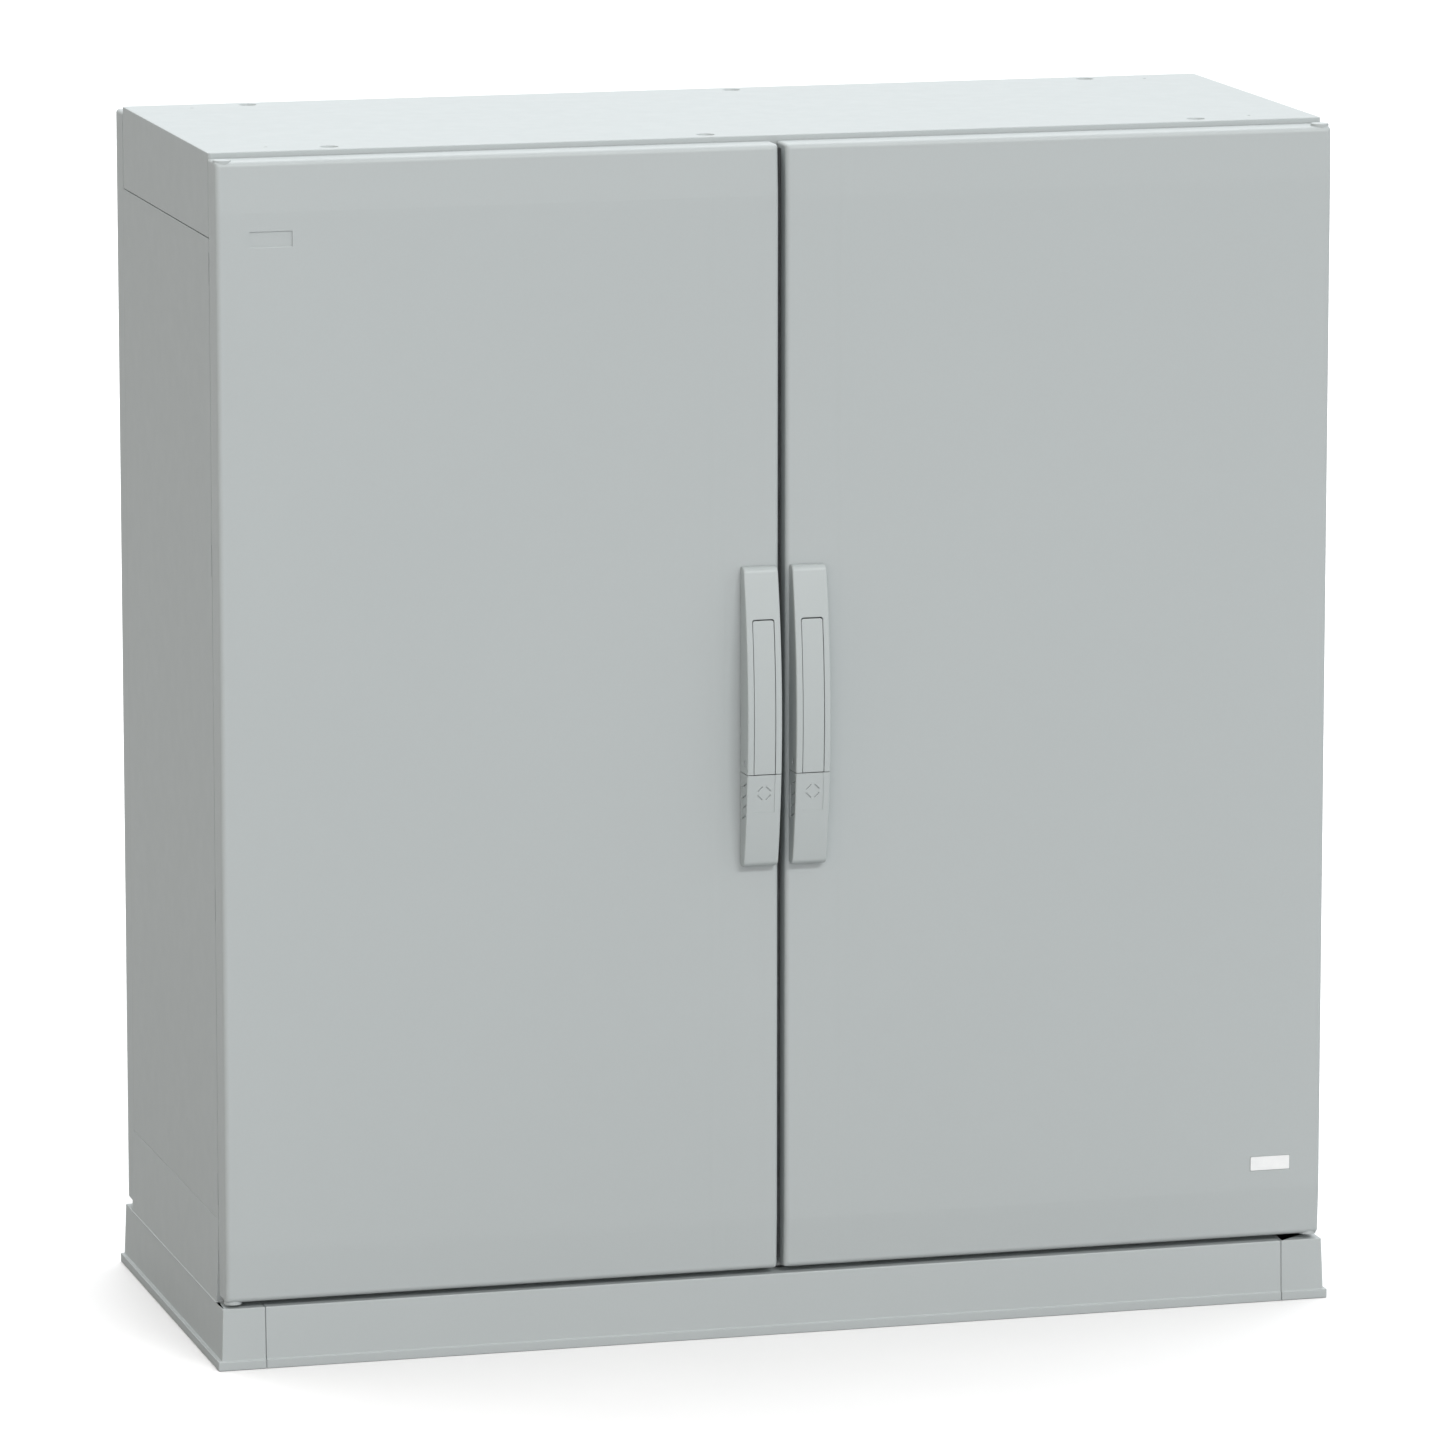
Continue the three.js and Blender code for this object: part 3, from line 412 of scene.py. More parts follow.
# ------------------------------------------------------------------ roof
def roof():
    R = 1.0

    def rect(inset, z, r):
        return [(x, y, z) for x, y in rounded_rect(-HALF_W + inset, HALF_W - inset, BODY_FRONT + inset, BODY_REAR - inset, r, 5)]

    loops = [rect(0.4, ROOF_BOTTOM + 0.3, 2.8), rect(0.1, ROOF_BOTTOM + 0.4, 3.1), rect(0, ROOF_BOTTOM + 0.75, 3.2), rect(0, HEIGHT - R, 3.2)]
    for i in range(1, 7):
        t = math.radians(15 * i)
        loops.append(rect(R * (1 - math.cos(t)), HEIGHT - R + R * math.sin(t), 3.2))
    ob = rings("roof_shell", loops)
    boolean(ob, [
        block("c", -HALF_W + WALL, HALF_W - WALL, BODY_FRONT + WALL, BODY_REAR - WALL, ROOF_BOTTOM - 5, HEIGHT - WALL),
        block("c", -OPEN_X, OPEN_X, BODY_FRONT - 5, BODY_FRONT + WALL + 1, ROOF_BOTTOM - 5, OPEN_Z1),
        block("c", -OPEN_X, OPEN_X, BODY_REAR - WALL - 1, BODY_REAR + 5, ROOF_BOTTOM - 5, OPEN_Z1),
    ])
    for s in (-1, 1):
        a, b = sorted((s * OPEN_X, s * (HALF_W - 1)))
        boolean(ob, [
            block("c", a, b, BODY_FRONT + 0.6, BODY_FRONT + WALL, ROOF_BOTTOM, OPEN_Z1 + 1),
            block("c", a, b, BODY_REAR - WALL, BODY_REAR - 0.6, ROOF_BOTTOM, OPEN_Z1 + 1),
        ], "UNION")
        a, b = sorted((s * LIP_END, s * (OPEN_X + LIP)))
        boolean(ob, block("c", a, b, LIP_FRONT, BODY_FRONT + 1, OPEN_Z1, OPEN_Z1 + LIP), "UNION")
        a, b = sorted((s * OPEN_X, s * (OPEN_X + LIP)))
        boolean(ob, block("c", a, b, LIP_FRONT, BODY_FRONT + 1, ROOF_BOTTOM, OPEN_Z1 + 1), "UNION")
    for x in (-250, 0, 250):
        boolean(ob, block("c", x - 2, x + 2, BODY_FRONT + WALL - 1, BODY_REAR - WALL + 1, HEIGHT - WALL - 18, HEIGHT - WALL + 1), "UNION")
    # dished screw seats: a shallow bowl with a flat floor
    cuts = []
    for x, y in ((-390, -149.5), (390, -149.5), (-56, -149.5), (-390, 174.5), (390, 174.5), (56, 174.5)):
        prof = [(8.2, HEIGHT + 1), (8.0, HEIGHT - 0.05), (7.4, HEIGHT - 1.5), (5.6, HEIGHT - 2.6), (3.2, HEIGHT - 3.0)]
        cuts.append(rings("c", [[(px, py, z) for px, py in circle(x, y, r, 40)] for r, z in prof]))
    for x in (-443, 443):
        for y in (-137.5, 162.5):
            prof = [(1.9, HEIGHT + 1), (1.75, HEIGHT - 0.1), (1.2, HEIGHT - 1.3)]
            cuts.append(rings("c", [[(px, py, z) for px, py in circle(x, y, r, 20)] for r, z in prof]))
    boolean(ob, merge("cuts", cuts))
    tidy(ob)
    soften(ob, 0.3, 2)
    return finish_piece(ob, M_SHELL, "enclosure", "roof_cap")


# ------------------------------------------------------------------ side panels
def side_panel():
    z0, z1 = BASE_TOP + 0.5, ROOF_BOTTOM - 0.5
    y0, y1 = BODY_FRONT, BODY_REAR
    r = 0.3
    # outer skin as a C-section in plan, with rounded outer corners
    outer = []
    for cx, cy, a in ((-HALF_W + r, y0 + r, 270), (-HALF_W + r, y1 - r, 180)):
        for i in range(5):
            t = math.radians(a - 90 * i / 4)
            outer.append((cx + r * math.cos(t), cy + r * math.sin(t)))
    body = prism_z("left_side_shell", outer + [(-OPEN_X, y1), (-OPEN_X, y0)], z0, z1)
    boolean(body, block("c", -HALF_W + WALL, -OPEN_X + 5, y0 + WALL, y1 - WALL, z0 - 5, z1 + 5))
    ribs = [
        (-HALF_W + 1, -HALF_W + 14, y0 + 1, y1 - 1, z0, z0 + WALL),
        (-HALF_W + 1, -HALF_W + 14, y0 + 1, y1 - 1, z1 - WALL, z1),
    ]
    for y in (-50, 75):
        ribs.append((-HALF_W + 1, -HALF_W + 12, y - 2, y + 2, z0 + 1, z1 - 1))
    ribs.append((-OPEN_X - LIP, -OPEN_X, LIP_FRONT, y0 + 1, z0, z1))
    for r_ in ribs:
        boolean(body, block("c", *r_), "UNION")
    cuts = []
    for z in HINGE_Z:
        cuts.append(block("c", -HALF_W - 1, -HALF_W + WALL + 1, y0 - 1, y0 + 1.2, z - 14, z + 14))
        cuts.append(block("c", -472, -467, y0 - 1, y0 + WALL + 1, z - 9, z + 9))
    boolean(body, merge("cuts", cuts))
    tidy(body)
    return soften(body, 0.15, 2)


# ------------------------------------------------------------------ rear panel
def rear_panel():
    R = 3.4

    def rect(inset, y, r=3.4):
        return [(x, y, z) for x, z in rounded_rect(-HALF_W + inset, HALF_W - inset, DOOR_Z0 + inset, DOOR_Z1 - inset, r, 5)]

    y0 = BODY_REAR + GAP
    loops = [rect(0.8, y0, 2.6), rect(0.2, y0 + 0.25, 3.2), rect(0, y0 + 0.9)]
    for i in range(0, 7):
        t = math.radians(15 * i)
        loops.append(rect(R * (1 - math.cos(t)), REAR_FACE - 0.6 - R + R * math.sin(t)))
    ob = rings("rear_panel_shell", loops)
    # the field stands a little proud of the border
    field = []
    for inset, y in ((42, REAR_FACE - 2), (42, REAR_FACE - 0.6), (44, REAR_FACE)):
        field.append([(x, y, z) for x, z in rounded_rect(-HALF_W + inset, HALF_W - inset, DOOR_Z0 + inset, DOOR_Z1 - inset, 6, 6)])
    boolean(ob, rings("c", field), "UNION")
    boolean(ob, block("c", -HALF_W + WALL, HALF_W - WALL, y0 - 5, REAR_FACE - WALL, DOOR_Z0 + WALL, DOOR_Z1 - WALL))
    for x in (-250, 0, 250):
        boolean(ob, block("c", x - 2, x + 2, REAR_FACE - WALL - 14, REAR_FACE - WALL + 0.5, DOOR_Z0 + 2, DOOR_Z1 - 2), "UNION")
    cuts = []
    for x in (-480, 0, 480):
        for z in (82, 558, 1034):
            if (x, z) == (0, 558):
                continue
            cuts.append(rings("c", [[(px, y, pz) for px, pz in circle(x, z, r, 32)] for r, y in ((7.2, REAR_FACE + 1), (6.8, REAR_FACE - 0.6), (6.4, REAR_FACE - 2.6))]))
    boolean(ob, merge("cuts", cuts))
    tidy(ob)
    soften(ob, 0.5, 2)
    return finish_piece(ob, M_SHELL, "enclosure", "rear_panel")


# ------------------------------------------------------------------ base mouldings and plinth panels
def base_moulding():
    w = 5.0
    k = (BASE_OUT - HALF_W) / (BASE_TOP - FLANGE_H)

    def xat(z):
        return HALF_W + k * (BASE_TOP - z)

    ob = taper("left_base_shell",
               (-xat(PLINTH_TOP), -OPEN_X, BODY_FRONT, BODY_REAR), PLINTH_TOP - 2,
               (-HALF_W, -OPEN_X, BODY_FRONT, BODY_REAR), BASE_TOP)
    boolean(ob, [
        taper("c", (-BASE_OUT, -CORNER_X, PLINTH_FRONT - 2, PLINTH_REAR + 1.5), FLANGE_H - 1,
              (-xat(PLINTH_TOP), -CORNER_X, PLINTH_FRONT, PLINTH_REAR), PLINTH_TOP),
        block("c", -FLANGE_X, -CORNER_X, FLANGE_FRONT, FLANGE_REAR, 0, FLANGE_H),
    ], "UNION")
    boolean(ob, [
        block("c", -HALF_W + w, -OPEN_X + 10, BODY_FRONT + WALL, BODY_REAR - WALL, PLINTH_TOP, BASE_TOP + 5),
        block("c", -HALF_W + w, -CORNER_X + 10, PLINTH_FRONT + w, PLINTH_REAR - w, -5, PLINTH_TOP - WALL),
    ])
    boolean(ob, block("c", -OPEN_X - LIP, -OPEN_X, LIP_FRONT, BODY_FRONT + 1, OPEN_Z0, BASE_TOP), "UNION")
    tidy(ob)
    return soften(ob, 1.0, 3)


def plinth_panel(front):
    x = CORNER_X - GAP
    s = 1 if front else -1
    f = PLINTH_FRONT if front else PLINTH_REAR
    flange = FLANGE_FRONT if front else FLANGE_REAR
    foot = PLINTH_FRONT - 2 if front else PLINTH_REAR + 1.5
    R = 1.2
    o = [(flange, 0), (f + s * 28, 0), (f + s * 28, 4), (f + s * 4, 4), (f + s * 4, 49.5), (f + s * 24, 49.5), (f + s * 24, PLINTH_TOP)]
    for i in range(7):
        t = math.radians(15 * i)
        o.append((f + s * (R - R * math.sin(t)), PLINTH_TOP - R + R * math.cos(t)))
    o += [(foot, FLANGE_H), (flange, FLANGE_H)]
    ob = prism_x(("front" if front else "rear") + "_plinth_shell", o, -x, x)
    tidy(ob)
    soften(ob, 0.8, 2, angle=40)
    return finish_piece(ob, M_SHELL, "enclosure", ("front" if front else "rear") + "_plinth_panel")


# ------------------------------------------------------------------ doors
def door_shell():
    """Left door: a shallow moulded tray, front face with border bands and a vertical bead, rounded edges."""
    x0, x1, z0, z1 = -HALF_W, -MEET_X, DOOR_Z0, DOOR_Z1
    bead_a, bead_b = -63.0, -52.2

    def height(x, z):
        # how far a point of the face stands back from the door's front plane
        h = 0.0
        if z > 1011.0:
            h += 2.5 * (z - 1011.0) / 44.0
        if z < 105.0:
            h += 1.6 * (105.0 - z) / 45.8
        if not bead_a <= x <= bead_b:
            h += 0.42
        return h

    xs = [x0, x0 + 6, -420, -340, -260, -180, -110, bead_a - 1.2, bead_a, bead_b, bead_b + 0.9, -30, x1 - 6, x1]
    zs = [z0, z0 + 6, 104.2, 105.8, 180, 260, 340, 420, 500, 580, 660, 740, 820, 900, 980, 1010.2, 1011.8, z1 - 6, z1]
    nx, nz = len(xs), len(zs)
    verts, faces = [], []

    def grid(fn):
        base = len(verts)
        for i in range(nx):
            for j in range(nz):
                verts.append(fn(i, j))
        return lambda i, j: base + i * nz + j

    A = grid(lambda i, j: (xs[i], DOOR_FRONT + height(xs[i], zs[j]), zs[j]))
    t = WALL

    def inner(i, j):
        x = min(max(xs[i], x0 + t), x1 - t)
        z = min(max(zs[j], z0 + t), z1 - t)
        return (x, DOOR_FRONT + t, z)

    B = grid(inner)
    rim = [(i, 0) for i in range(nx)] + [(nx - 1, j) for j in range(1, nz)] + [(i, nz - 1) for i in range(nx - 2, -1, -1)] + [(0, j) for j in range(nz - 2, 0, -1)]
    base = len(verts)
    n = len(rim)
    for i, j in rim:
        verts.append((xs[i], DOOR_REAR, zs[j]))
    for i, j in rim:
        x = min(max(xs[i], x0 + t), x1 - t)
        z = min(max(zs[j], z0 + t), z1 - t)
        verts.append((x, DOOR_REAR, z))
    for i in range(nx - 1):
        for j in range(nz - 1):
            faces.append((A(i, j), A(i + 1, j), A(i + 1, j + 1), A(i, j + 1)))
            faces.append((B(i, j), B(i, j + 1), B(i + 1, j + 1), B(i + 1, j)))
    for k in range(n):
        q = (k + 1) % n
        a, b = rim[k], rim[q]
        faces.append((A(*a), base + k, base + q, A(*b)))
        faces.append((base + k, base + n + k, base + n + q, base + q))
        faces.append((base + n + k, B(*a), B(*b), base + n + q))
    ob = from_faces("left_door_shell", verts, faces)
    # bevel weights: wide on the front outline and the upright corners, small on the rear rim
    me = ob.data
    attr = me.attributes.new("bevel_weight_edge", "FLOAT", "EDGE")
    outer = {A(*p): p for p in rim}
    corners = {(0, 0), (nx - 1, 0), (nx - 1, nz - 1), (0, nz - 1)}
    for e in me.edges:
        a, b = e.vertices
        w = 0.0
        if a in outer and b in outer:
            w = 1.0
        else:
            ia, ib = a - base, b - base
            if 0 <= ia < n and 0 <= ib < n:
                w = 0.06
            elif n <= ia < 2 * n and n <= ib < 2 * n:
                w = 0.05
            else:
                for p, q in ((a, b), (b, a)):
                    if p in outer and 0 <= q - base < n and outer[p] in corners:
                        w = 0.55
        attr.data[e.index].value = w
    m = ob.modifiers.new("round", "BEVEL")
    m.width = 4.8 * MM
    m.segments = 7
    m.limit_method = "WEIGHT"
    m.use_clamp_overlap = True
    bake(ob)
    # stiffening ribs inside
    for z in (300, 820):
        boolean(ob, block("c", -455, -48, DOOR_FRONT + WALL - 1, DOOR_FRONT + WALL + 8, z - 2, z + 2), "UNION")
    # bosses above and below the hinge corner
    for a, b in ((DOOR_Z1 - 2, DOOR_Z1 + 1.2), (DOOR_Z0 + 2, DOOR_Z0 - 2.2)):
        s = 1 if b > a else -1
        boolean(ob, rings("c", [[(x, y, z) for x, y in circle(-HINGE_X, HINGE_Y, r, 40)] for r, z in ((7.9, a), (7.9, b - s * 0.5), (7.7, b - s * 0.15), (7.2, b))]), "UNION")
    return ob


def door(left):
    ob = door_shell()
    if not left:
        # the right door is the same moulding turned upside down
        c = (DOOR_Z0 + DOOR_Z1) / 2 * MM
        ob.data.transform(Matrix.Translation((0, 0, 2 * c)) @ Matrix.Diagonal((-1, 1, -1, 1)))
        ob.name = "right_door_shell"
        ob.data.update()
        boss_fix = None
    hx = -HANDLE_X if left else HANDLE_X
    boolean(ob, block("c", hx - 4.2, hx + 4.2, DOOR_FRONT - 5, DOOR_FRONT + WALL + 5, 495, 537.5))
    # label recess, its lower edge eased
    if left:
        rec, deep = rounded_rect(-471, -433.5, 981.6, 995, 0.6, 3), 1.6
    else:
        rec, deep = rounded_rect(433.8, 471.3, 120.4, 133.8, 0.6, 3), 0.95
    zm = sum(z for _, z in rec) / len(rec)
    eased = [(x, z - 1.0 if z < zm else z) for x, z in rec]
    boolean(ob, rings("c", [[(x, y, z) for x, z in q] for q, y in ((eased, DOOR_FRONT - 2), (eased, DOOR_FRONT + 0.42), (rec, DOOR_FRONT + 0.85), (rec, DOOR_FRONT + deep))]))
    tidy(ob, 0.002)
    shade_by_angle(ob, 32)
    s = "left" if left else "right"
    return finish_piece(ob, M_SHELL, s + "_leaf", s + "_door")


# ------------------------------------------------------------------ handles
def bow(z, inset=0.0):
    return DOOR_FRONT - (HANDLE_OUT - inset - (HANDLE_R - math.sqrt(HANDLE_R ** 2 - (z - HANDLE_TOP_Z) ** 2)))


def handle_section(z, half, front, back, r, draft=0.35):
    """A D-shaped ring at height z: flat back, flanks with a little draft, rounded front corners."""
    pts = [(half, back)]
    hf = half - draft
    r = min(r, hf * 0.9, (back - front) * 0.9)
    cx, cy = hf - r, front + r
    for i in range(7):
        t = math.radians(15 * i)
        pts.append((cx + r * math.cos(t), cy - r * math.sin(t)))
    for i in range(7):
        t = math.radians(90 + 15 * i)
        pts.append((-cx + r * math.cos(t), cy - r * math.sin(t)))
    pts.append((-half, back))
    return [(x, y, z) for x, y in pts]


def handle_loft(name, z0, z1, half, inset, back, r, end0=0.0, end1=0.0, n=30, extra0=0.0, extra1=0.0):
    """Bowed body between two heights; an end radius rounds the face over into the end."""
    loops = []
    if end0:
        for i in range(8):
            t = math.radians(90 * i / 8)
            z = z0 + end0 * (1 - math.sin(t)) if False else z0 + end0 * (1 - math.cos(t))
            d = end0 * (1 - math.sin(t))
            loops.append(handle_section(z, half - extra0 * (1 - math.sin(t)), bow(z0 + end0, inset) + d + (bow(z, inset) - bow(z0 + end0, inset)), back, r))
    a, b = z0 + end0, z1 - end1
    for i in range(n + 1):
        z = a + (b - a) * i / n
        loops.append(handle_section(z, half, bow(z, inset), back, r))
    if end1:
        for i in range(1, 9):
            t = math.radians(90 * i / 8)
            z = z1 - end1 + end1 * math.sin(t)
            d = end1 * (1 - math.cos(t))
            loops.append(handle_section(z, half - extra1 * (1 - math.cos(t)), bow(z, inset) + d, back, r))
    return rings(name, loops)


def shift_x(ob, dx):
    ob.data.transform(Matrix.Translation((dx * MM, 0, 0)))
    return ob


def handle_housing():
    h = HANDLE_W / 2
    ob = handle_loft("left_handle_housing_shell", SPLIT + GAP, HANDLE_Z1, h, 0.0, FACE, 1.5, 0.0, 4.8, 34, 0, 0.9)
    # bay for the lever, with rounded upper corners
    bay = [(-9.95, SPLIT - 20), (9.95, SPLIT - 20)]
    for i in range(7):
        t = math.radians(15 * i)
        bay.append((9.95 - 2.2 + 2.2 * math.cos(t), LEVER_Z1 + 1.2 - 2.2 + 2.2 * math.sin(t)))
    for i in range(7):
        t = math.radians(90 + 15 * i)
        bay.append((-9.95 + 2.2 + 2.2 * math.cos(t), LEVER_Z1 + 1.2 - 2.2 + 2.2 * math.sin(t)))
    boolean(ob, prism_y("c", bay, -260, -202))
    boolean(ob, [
        block("c", -13.4, 13.4, -202, FACE, HANDLE_Z0 + 3.4, SPLIT + 1),
        prism_y("c", rounded_rect(-9, 9, 467.5, 493, 2.5, 4), -213.5, -201),
    ], "UNION")
    boolean(ob, [
        block("c", -4.2, 4.2, -206, FACE + 1, 494, 538.5),
        prism_x("c", circle(PIN_Y, PIN_Z, 2.7, 24), -h - 1, h + 1),
        prism_y("c", circle(0, 480.5, 6.3, 40), -230, -203),
    ])
    tidy(ob)
    soften(ob, 0.09, 2, angle=38, smooth=36)
    return shift_x(ob, -HANDLE_X)


def gear_outline(cy, cz, m, N, pa, add, ded, backlash, first, last):
    rp = m * N / 2
    rb = rp * math.cos(pa)
    ra, rr = rp + add, rp - ded
    inv = lambda x: math.tan(x) - x
    half = (math.pi * m) / 2 / rp / 2 - backlash / 2 / rp
    at = lambda r: half + inv(pa) if r <= rb else half + inv(pa) - inv(math.acos(rb / r))
    r0 = max(rb, rr)
    steps = (0.2, 0.4, 0.6, 0.8, 1.0)
    pts = []
    for k in range(first, last):
        mid = (k + 0.5) * 2 * math.pi / N
        pts.append((rr, mid - at(rr)))
        for t in steps:
            r = r0 + (ra - r0) * t
            pts.append((r, mid - at(r)))
        for t in reversed(steps):
            r = r0 + (ra - r0) * t
            pts.append((r, mid + at(r)))
        pts.append((rr, mid + at(rr)))
    return [(cy + r * math.cos(a), cz + r * math.sin(a)) for r, a in pts]


def lever():
    w = LEVER_W / 2
    # front plate, following the bow, thin at the tip; its lower end stops just above the seam
    sect = []
    n = 34
    for i in range(n + 1):
        z = LEVER_Z0 + (LEVER_Z1 - LEVER_Z0) * i / n
        if z < PIN_Z - 2:
            back = bow(z, 0.2) + 2.4
        elif z < PIN_Z + 14:
            back = PIN_Y + 3
        else:
            back = -208.5 + 1.5 * max(0.0, (z - (LEVER_Z1 - 30)) / 30)
        sect.append((z, bow(z, 0.2), back))
    z, f, b = sect[0]
    loops = [handle_section(z, w - 0.14, f + 0.14, b, 0.3, 0.0), handle_section(z + 0.08, w - 0.06, f + 0.07, b, 0.3, 0.0)]
    loops += [handle_section(z, w, f, b, 0.3, 0.0) for z, f, b in sect[1:-1]]
    z, f, b = sect[-1]
    loops += [handle_section(z - 0.6, w, bow(z - 0.6, 0.2), b, 0.3, 0.0), handle_section(z - 0.15, w - 0.18, f + 0.2, b, 0.3, 0.0), handle_section(z, w - 0.6, f + 0.6, b, 0.3, 0.0)]
    ob = rings("left_lever_shell", loops)
    # the upper corners are rounded in the face as well
    corner = []
    for s_ in (-1, 1):
        pts = [(s_ * (w + 1), LEVER_Z1 + 1)]
        for i in range(9):
            t = math.radians(90 * i / 8)
            pts.append((s_ * (w - 2.0 + 2.0 * math.sin(t)), LEVER_Z1 - 2.0 + 2.0 * math.cos(t)))
        pts = [pts[0], (s_ * (w - 2.0), LEVER_Z1 + 1)] + pts[1:] + [(s_ * (w + 1), LEVER_Z1 - 2.0)]
        corner.append(prism_y("c", pts, -260, -190))
    boolean(ob, corner)
    barrel = rings("c", [[(x, y, z) for y, z in circle(PIN_Y, PIN_Z, r, 48)] for x, r in ((-w, 7.0), (-w + 0.6, 7.6), (w - 0.6, 7.6), (w, 7.0))])
    boolean(ob, barrel, "UNION")
    teeth = gear_outline(PIN_Y, PIN_Z, 2.0, 20, math.radians(20), 1.5, 2.1, 0.5, -5, 1)
    boolean(ob, prism_x("c", [(PIN_Y, PIN_Z - 2)] + teeth + [(PIN_Y, PIN_Z + 4)], -3.5, 3.5), "UNION")
    # pin bore, and the finger hollow behind the tip
    boolean(ob, [
        prism_x("c", circle(PIN_Y, PIN_Z, 2.7, 28), -w - 1, w + 1),
        prism_x("c", [(-200, 560), (-200, 634), (-214, 630), (-216.2, 618), (-216.2, 576), (-214, 564)], -w + 2.2, w - 2.2),
    ])
    tidy(ob)
    soften(ob, 0.08, 2, angle=44, smooth=36)
    return shift_x(ob, -HANDLE_X)


def lock_cover():
    h = HANDLE_W / 2
    t = 2.2
    ob = handle_loft("left_lock_cover_shell", HANDLE_Z0, SPLIT - GAP, h, 0.0, FACE, 1.5, 5.0, 0.0, 18, 0.9, 0.0)
    core = handle_loft("c", HANDLE_Z0 + 3, SPLIT + 5, h - t, t, FACE + 5, 1.6, 3.0, 0.0, 18)
    boolean(ob, core)
    # shallow panel on the front, following the bow
    depth = 0.55
    zs = [473.0 + (SPLIT + 2 - 473.0) * i / 8 for i in range(9)]
    outline = [(-240, 473.0)] + [(bow(z, depth), z) for z in zs] + [(-240, SPLIT + 2)]
    boolean(ob, prism_x("c", outline, -9.7, 9.7))
    boolean(ob, prism_x("c", [(bow(SPLIT, t) - 1.7, SPLIT + 1), (bow(SPLIT, t) - 1.7, SPLIT - GAP), (bow(SPLIT, t), SPLIT - GAP - 1.7), (bow(SPLIT, t) + 1, SPLIT - GAP - 1.7), (bow(SPLIT, t) + 1, SPLIT + 1)], -h + t, h - t))
    # an engraved open diamond of four short strokes in the panel
    zc = 490.5
    slope = (bow(zc + 5, depth) - bow(zc - 5, depth)) / 10.0
    cuts = []
    for ax, az, bx, bz in ((-5.9, 1.6, -1.6, 5.9), (1.6, 5.9, 5.9, 1.6), (5.9, -1.6, 1.6, -5.9), (-1.6, -5.9, -5.9, -1.6)):
        d = Vector((bx - ax, bz - az)).normalized()
        nrm = Vector((-d.y, d.x)) * 0.5
        q = [(ax + nrm.x, az + nrm.y), (bx + nrm.x, bz + nrm.y), (bx - nrm.x, bz - nrm.y), (ax - nrm.x, az - nrm.y)]
        y = lambda z, o: bow(zc, depth) + slope * z + o
        cuts.append(rings("c", [[(x, y(z, -1.5), zc + z) for x, z in q], [(x, y(z, 1.15), zc + z) for x, z in q]]))
    # finger grips on both flanks: a shallow pocket with four slanted grooves in its floor
    for s_ in (-1, 1):
        x0, x1 = sorted((s_ * (h - 0.7), s_ * (h + 1)))
        cuts.append(prism_x("c", [(-201.0, 465.4), (-201.0, 493.6), (bow(500) + 1.9, 500.0), (bow(486) + 1.7, 486.0), (bow(472) + 1.9, 472.0)], x0, x1))
        x0, x1 = sorted((s_ * (h - 1.7), s_ * (h + 1)))
        for zg, ya, yb in ((467.9, -202.0, -214.0), (476.9, -202.0, -214.0), (486.2, -202.0, -214.0), (495.6, -207.5, -215.5)):
            a, b_ = (ya, zg + (ya + 208) * -0.45), (yb, zg + (yb + 208) * -0.45)
            d = Vector((b_[0] - a[0], b_[1] - a[1])).normalized()
            nr = Vector((-d.y, d.x)) * 0.7
            q = [(a[0] + nr.x, a[1] + nr.y), (b_[0] + nr.x, b_[1] + nr.y), (b_[0] - nr.x, b_[1] - nr.y), (a[0] - nr.x, a[1] - nr.y)]
            cuts.append(prism_x("c", q, x0, x1))
    for c in cuts:
        boolean(ob, c)
    tidy(ob, 0.005)
    soften(ob, 0.14, 2, angle=38, smooth=36)
    return shift_x(ob, -HANDLE_X)


def lock_insert():
    loops = [[(x, y, z) for x, z in circle(0, 480.5, r, 48)] for r, y in ((6.0, -203.4), (6.0, -213.6), (5.8, -214.0), (5.4, -214.2))]
    ob = rings("left_lock_insert_shell", loops)
    boolean(ob, prism_y("c", circle(0, 480.5, 4.0, 3, math.radians(90)), -220, -210.6))
    boolean(ob, prism_y("c", circle(0, 480.5, 1.3, 24), -212.5, -208), "UNION")
    tidy(ob)
    soften(ob, 0.15, 2, angle=40)
    return shift_x(ob, -HANDLE_X)


# ------------------------------------------------------------------ seals and grommets
def gasket(left):
    """Bulb seal on the door's inner face: a foot with a rounded crown, on three sides."""
    y0, y1 = DOOR_FRONT + WALL + GAP, LIP_FRONT - GAP
    s = "left" if left else "right"

    def section(u0, u1):
        c = (u0 + u1) / 2
        hw = (u1 - u0) / 2
        pts = [(u0, y0), (u1, y0), (u1, y0 + 3), (u1 - 1.2, y0 + 4)]
        for i in range(9):
            t = math.radians(180 * i / 8)
            pts.append((c + (hw - 1.2) * math.cos(t), y1 - 4.5 + 4.5 * math.sin(t)))
        pts += [(u0 + 1.2, y0 + 4), (u0, y0 + 3)]
        return pts

    up = prism_z("c", section(-466.9, -457), 89, 1026)
    obs = [up]
    for a, b in ((1013.5, 1026), (89, 100.5)):
        obs.append(rings("c", [[(x, y, z) for z, y in section(a, b)] for x in (-462, -9)]))
    ob = obs[0]
    boolean(ob, obs[1:], "UNION")
    ob.name = s + "_gasket_bulb"
    tidy(ob)
    soften(ob, 0.3, 2, angle=50, smooth=50)
    if not left:
        m = mirrored(ob, "right_gasket_bulb")
        bpy.data.objects.remove(ob)
        ob = m
        shade_by_angle(ob, 50)
    return finish_piece(ob, M_RUBBER, s + "_leaf", s + "_door_gasket")


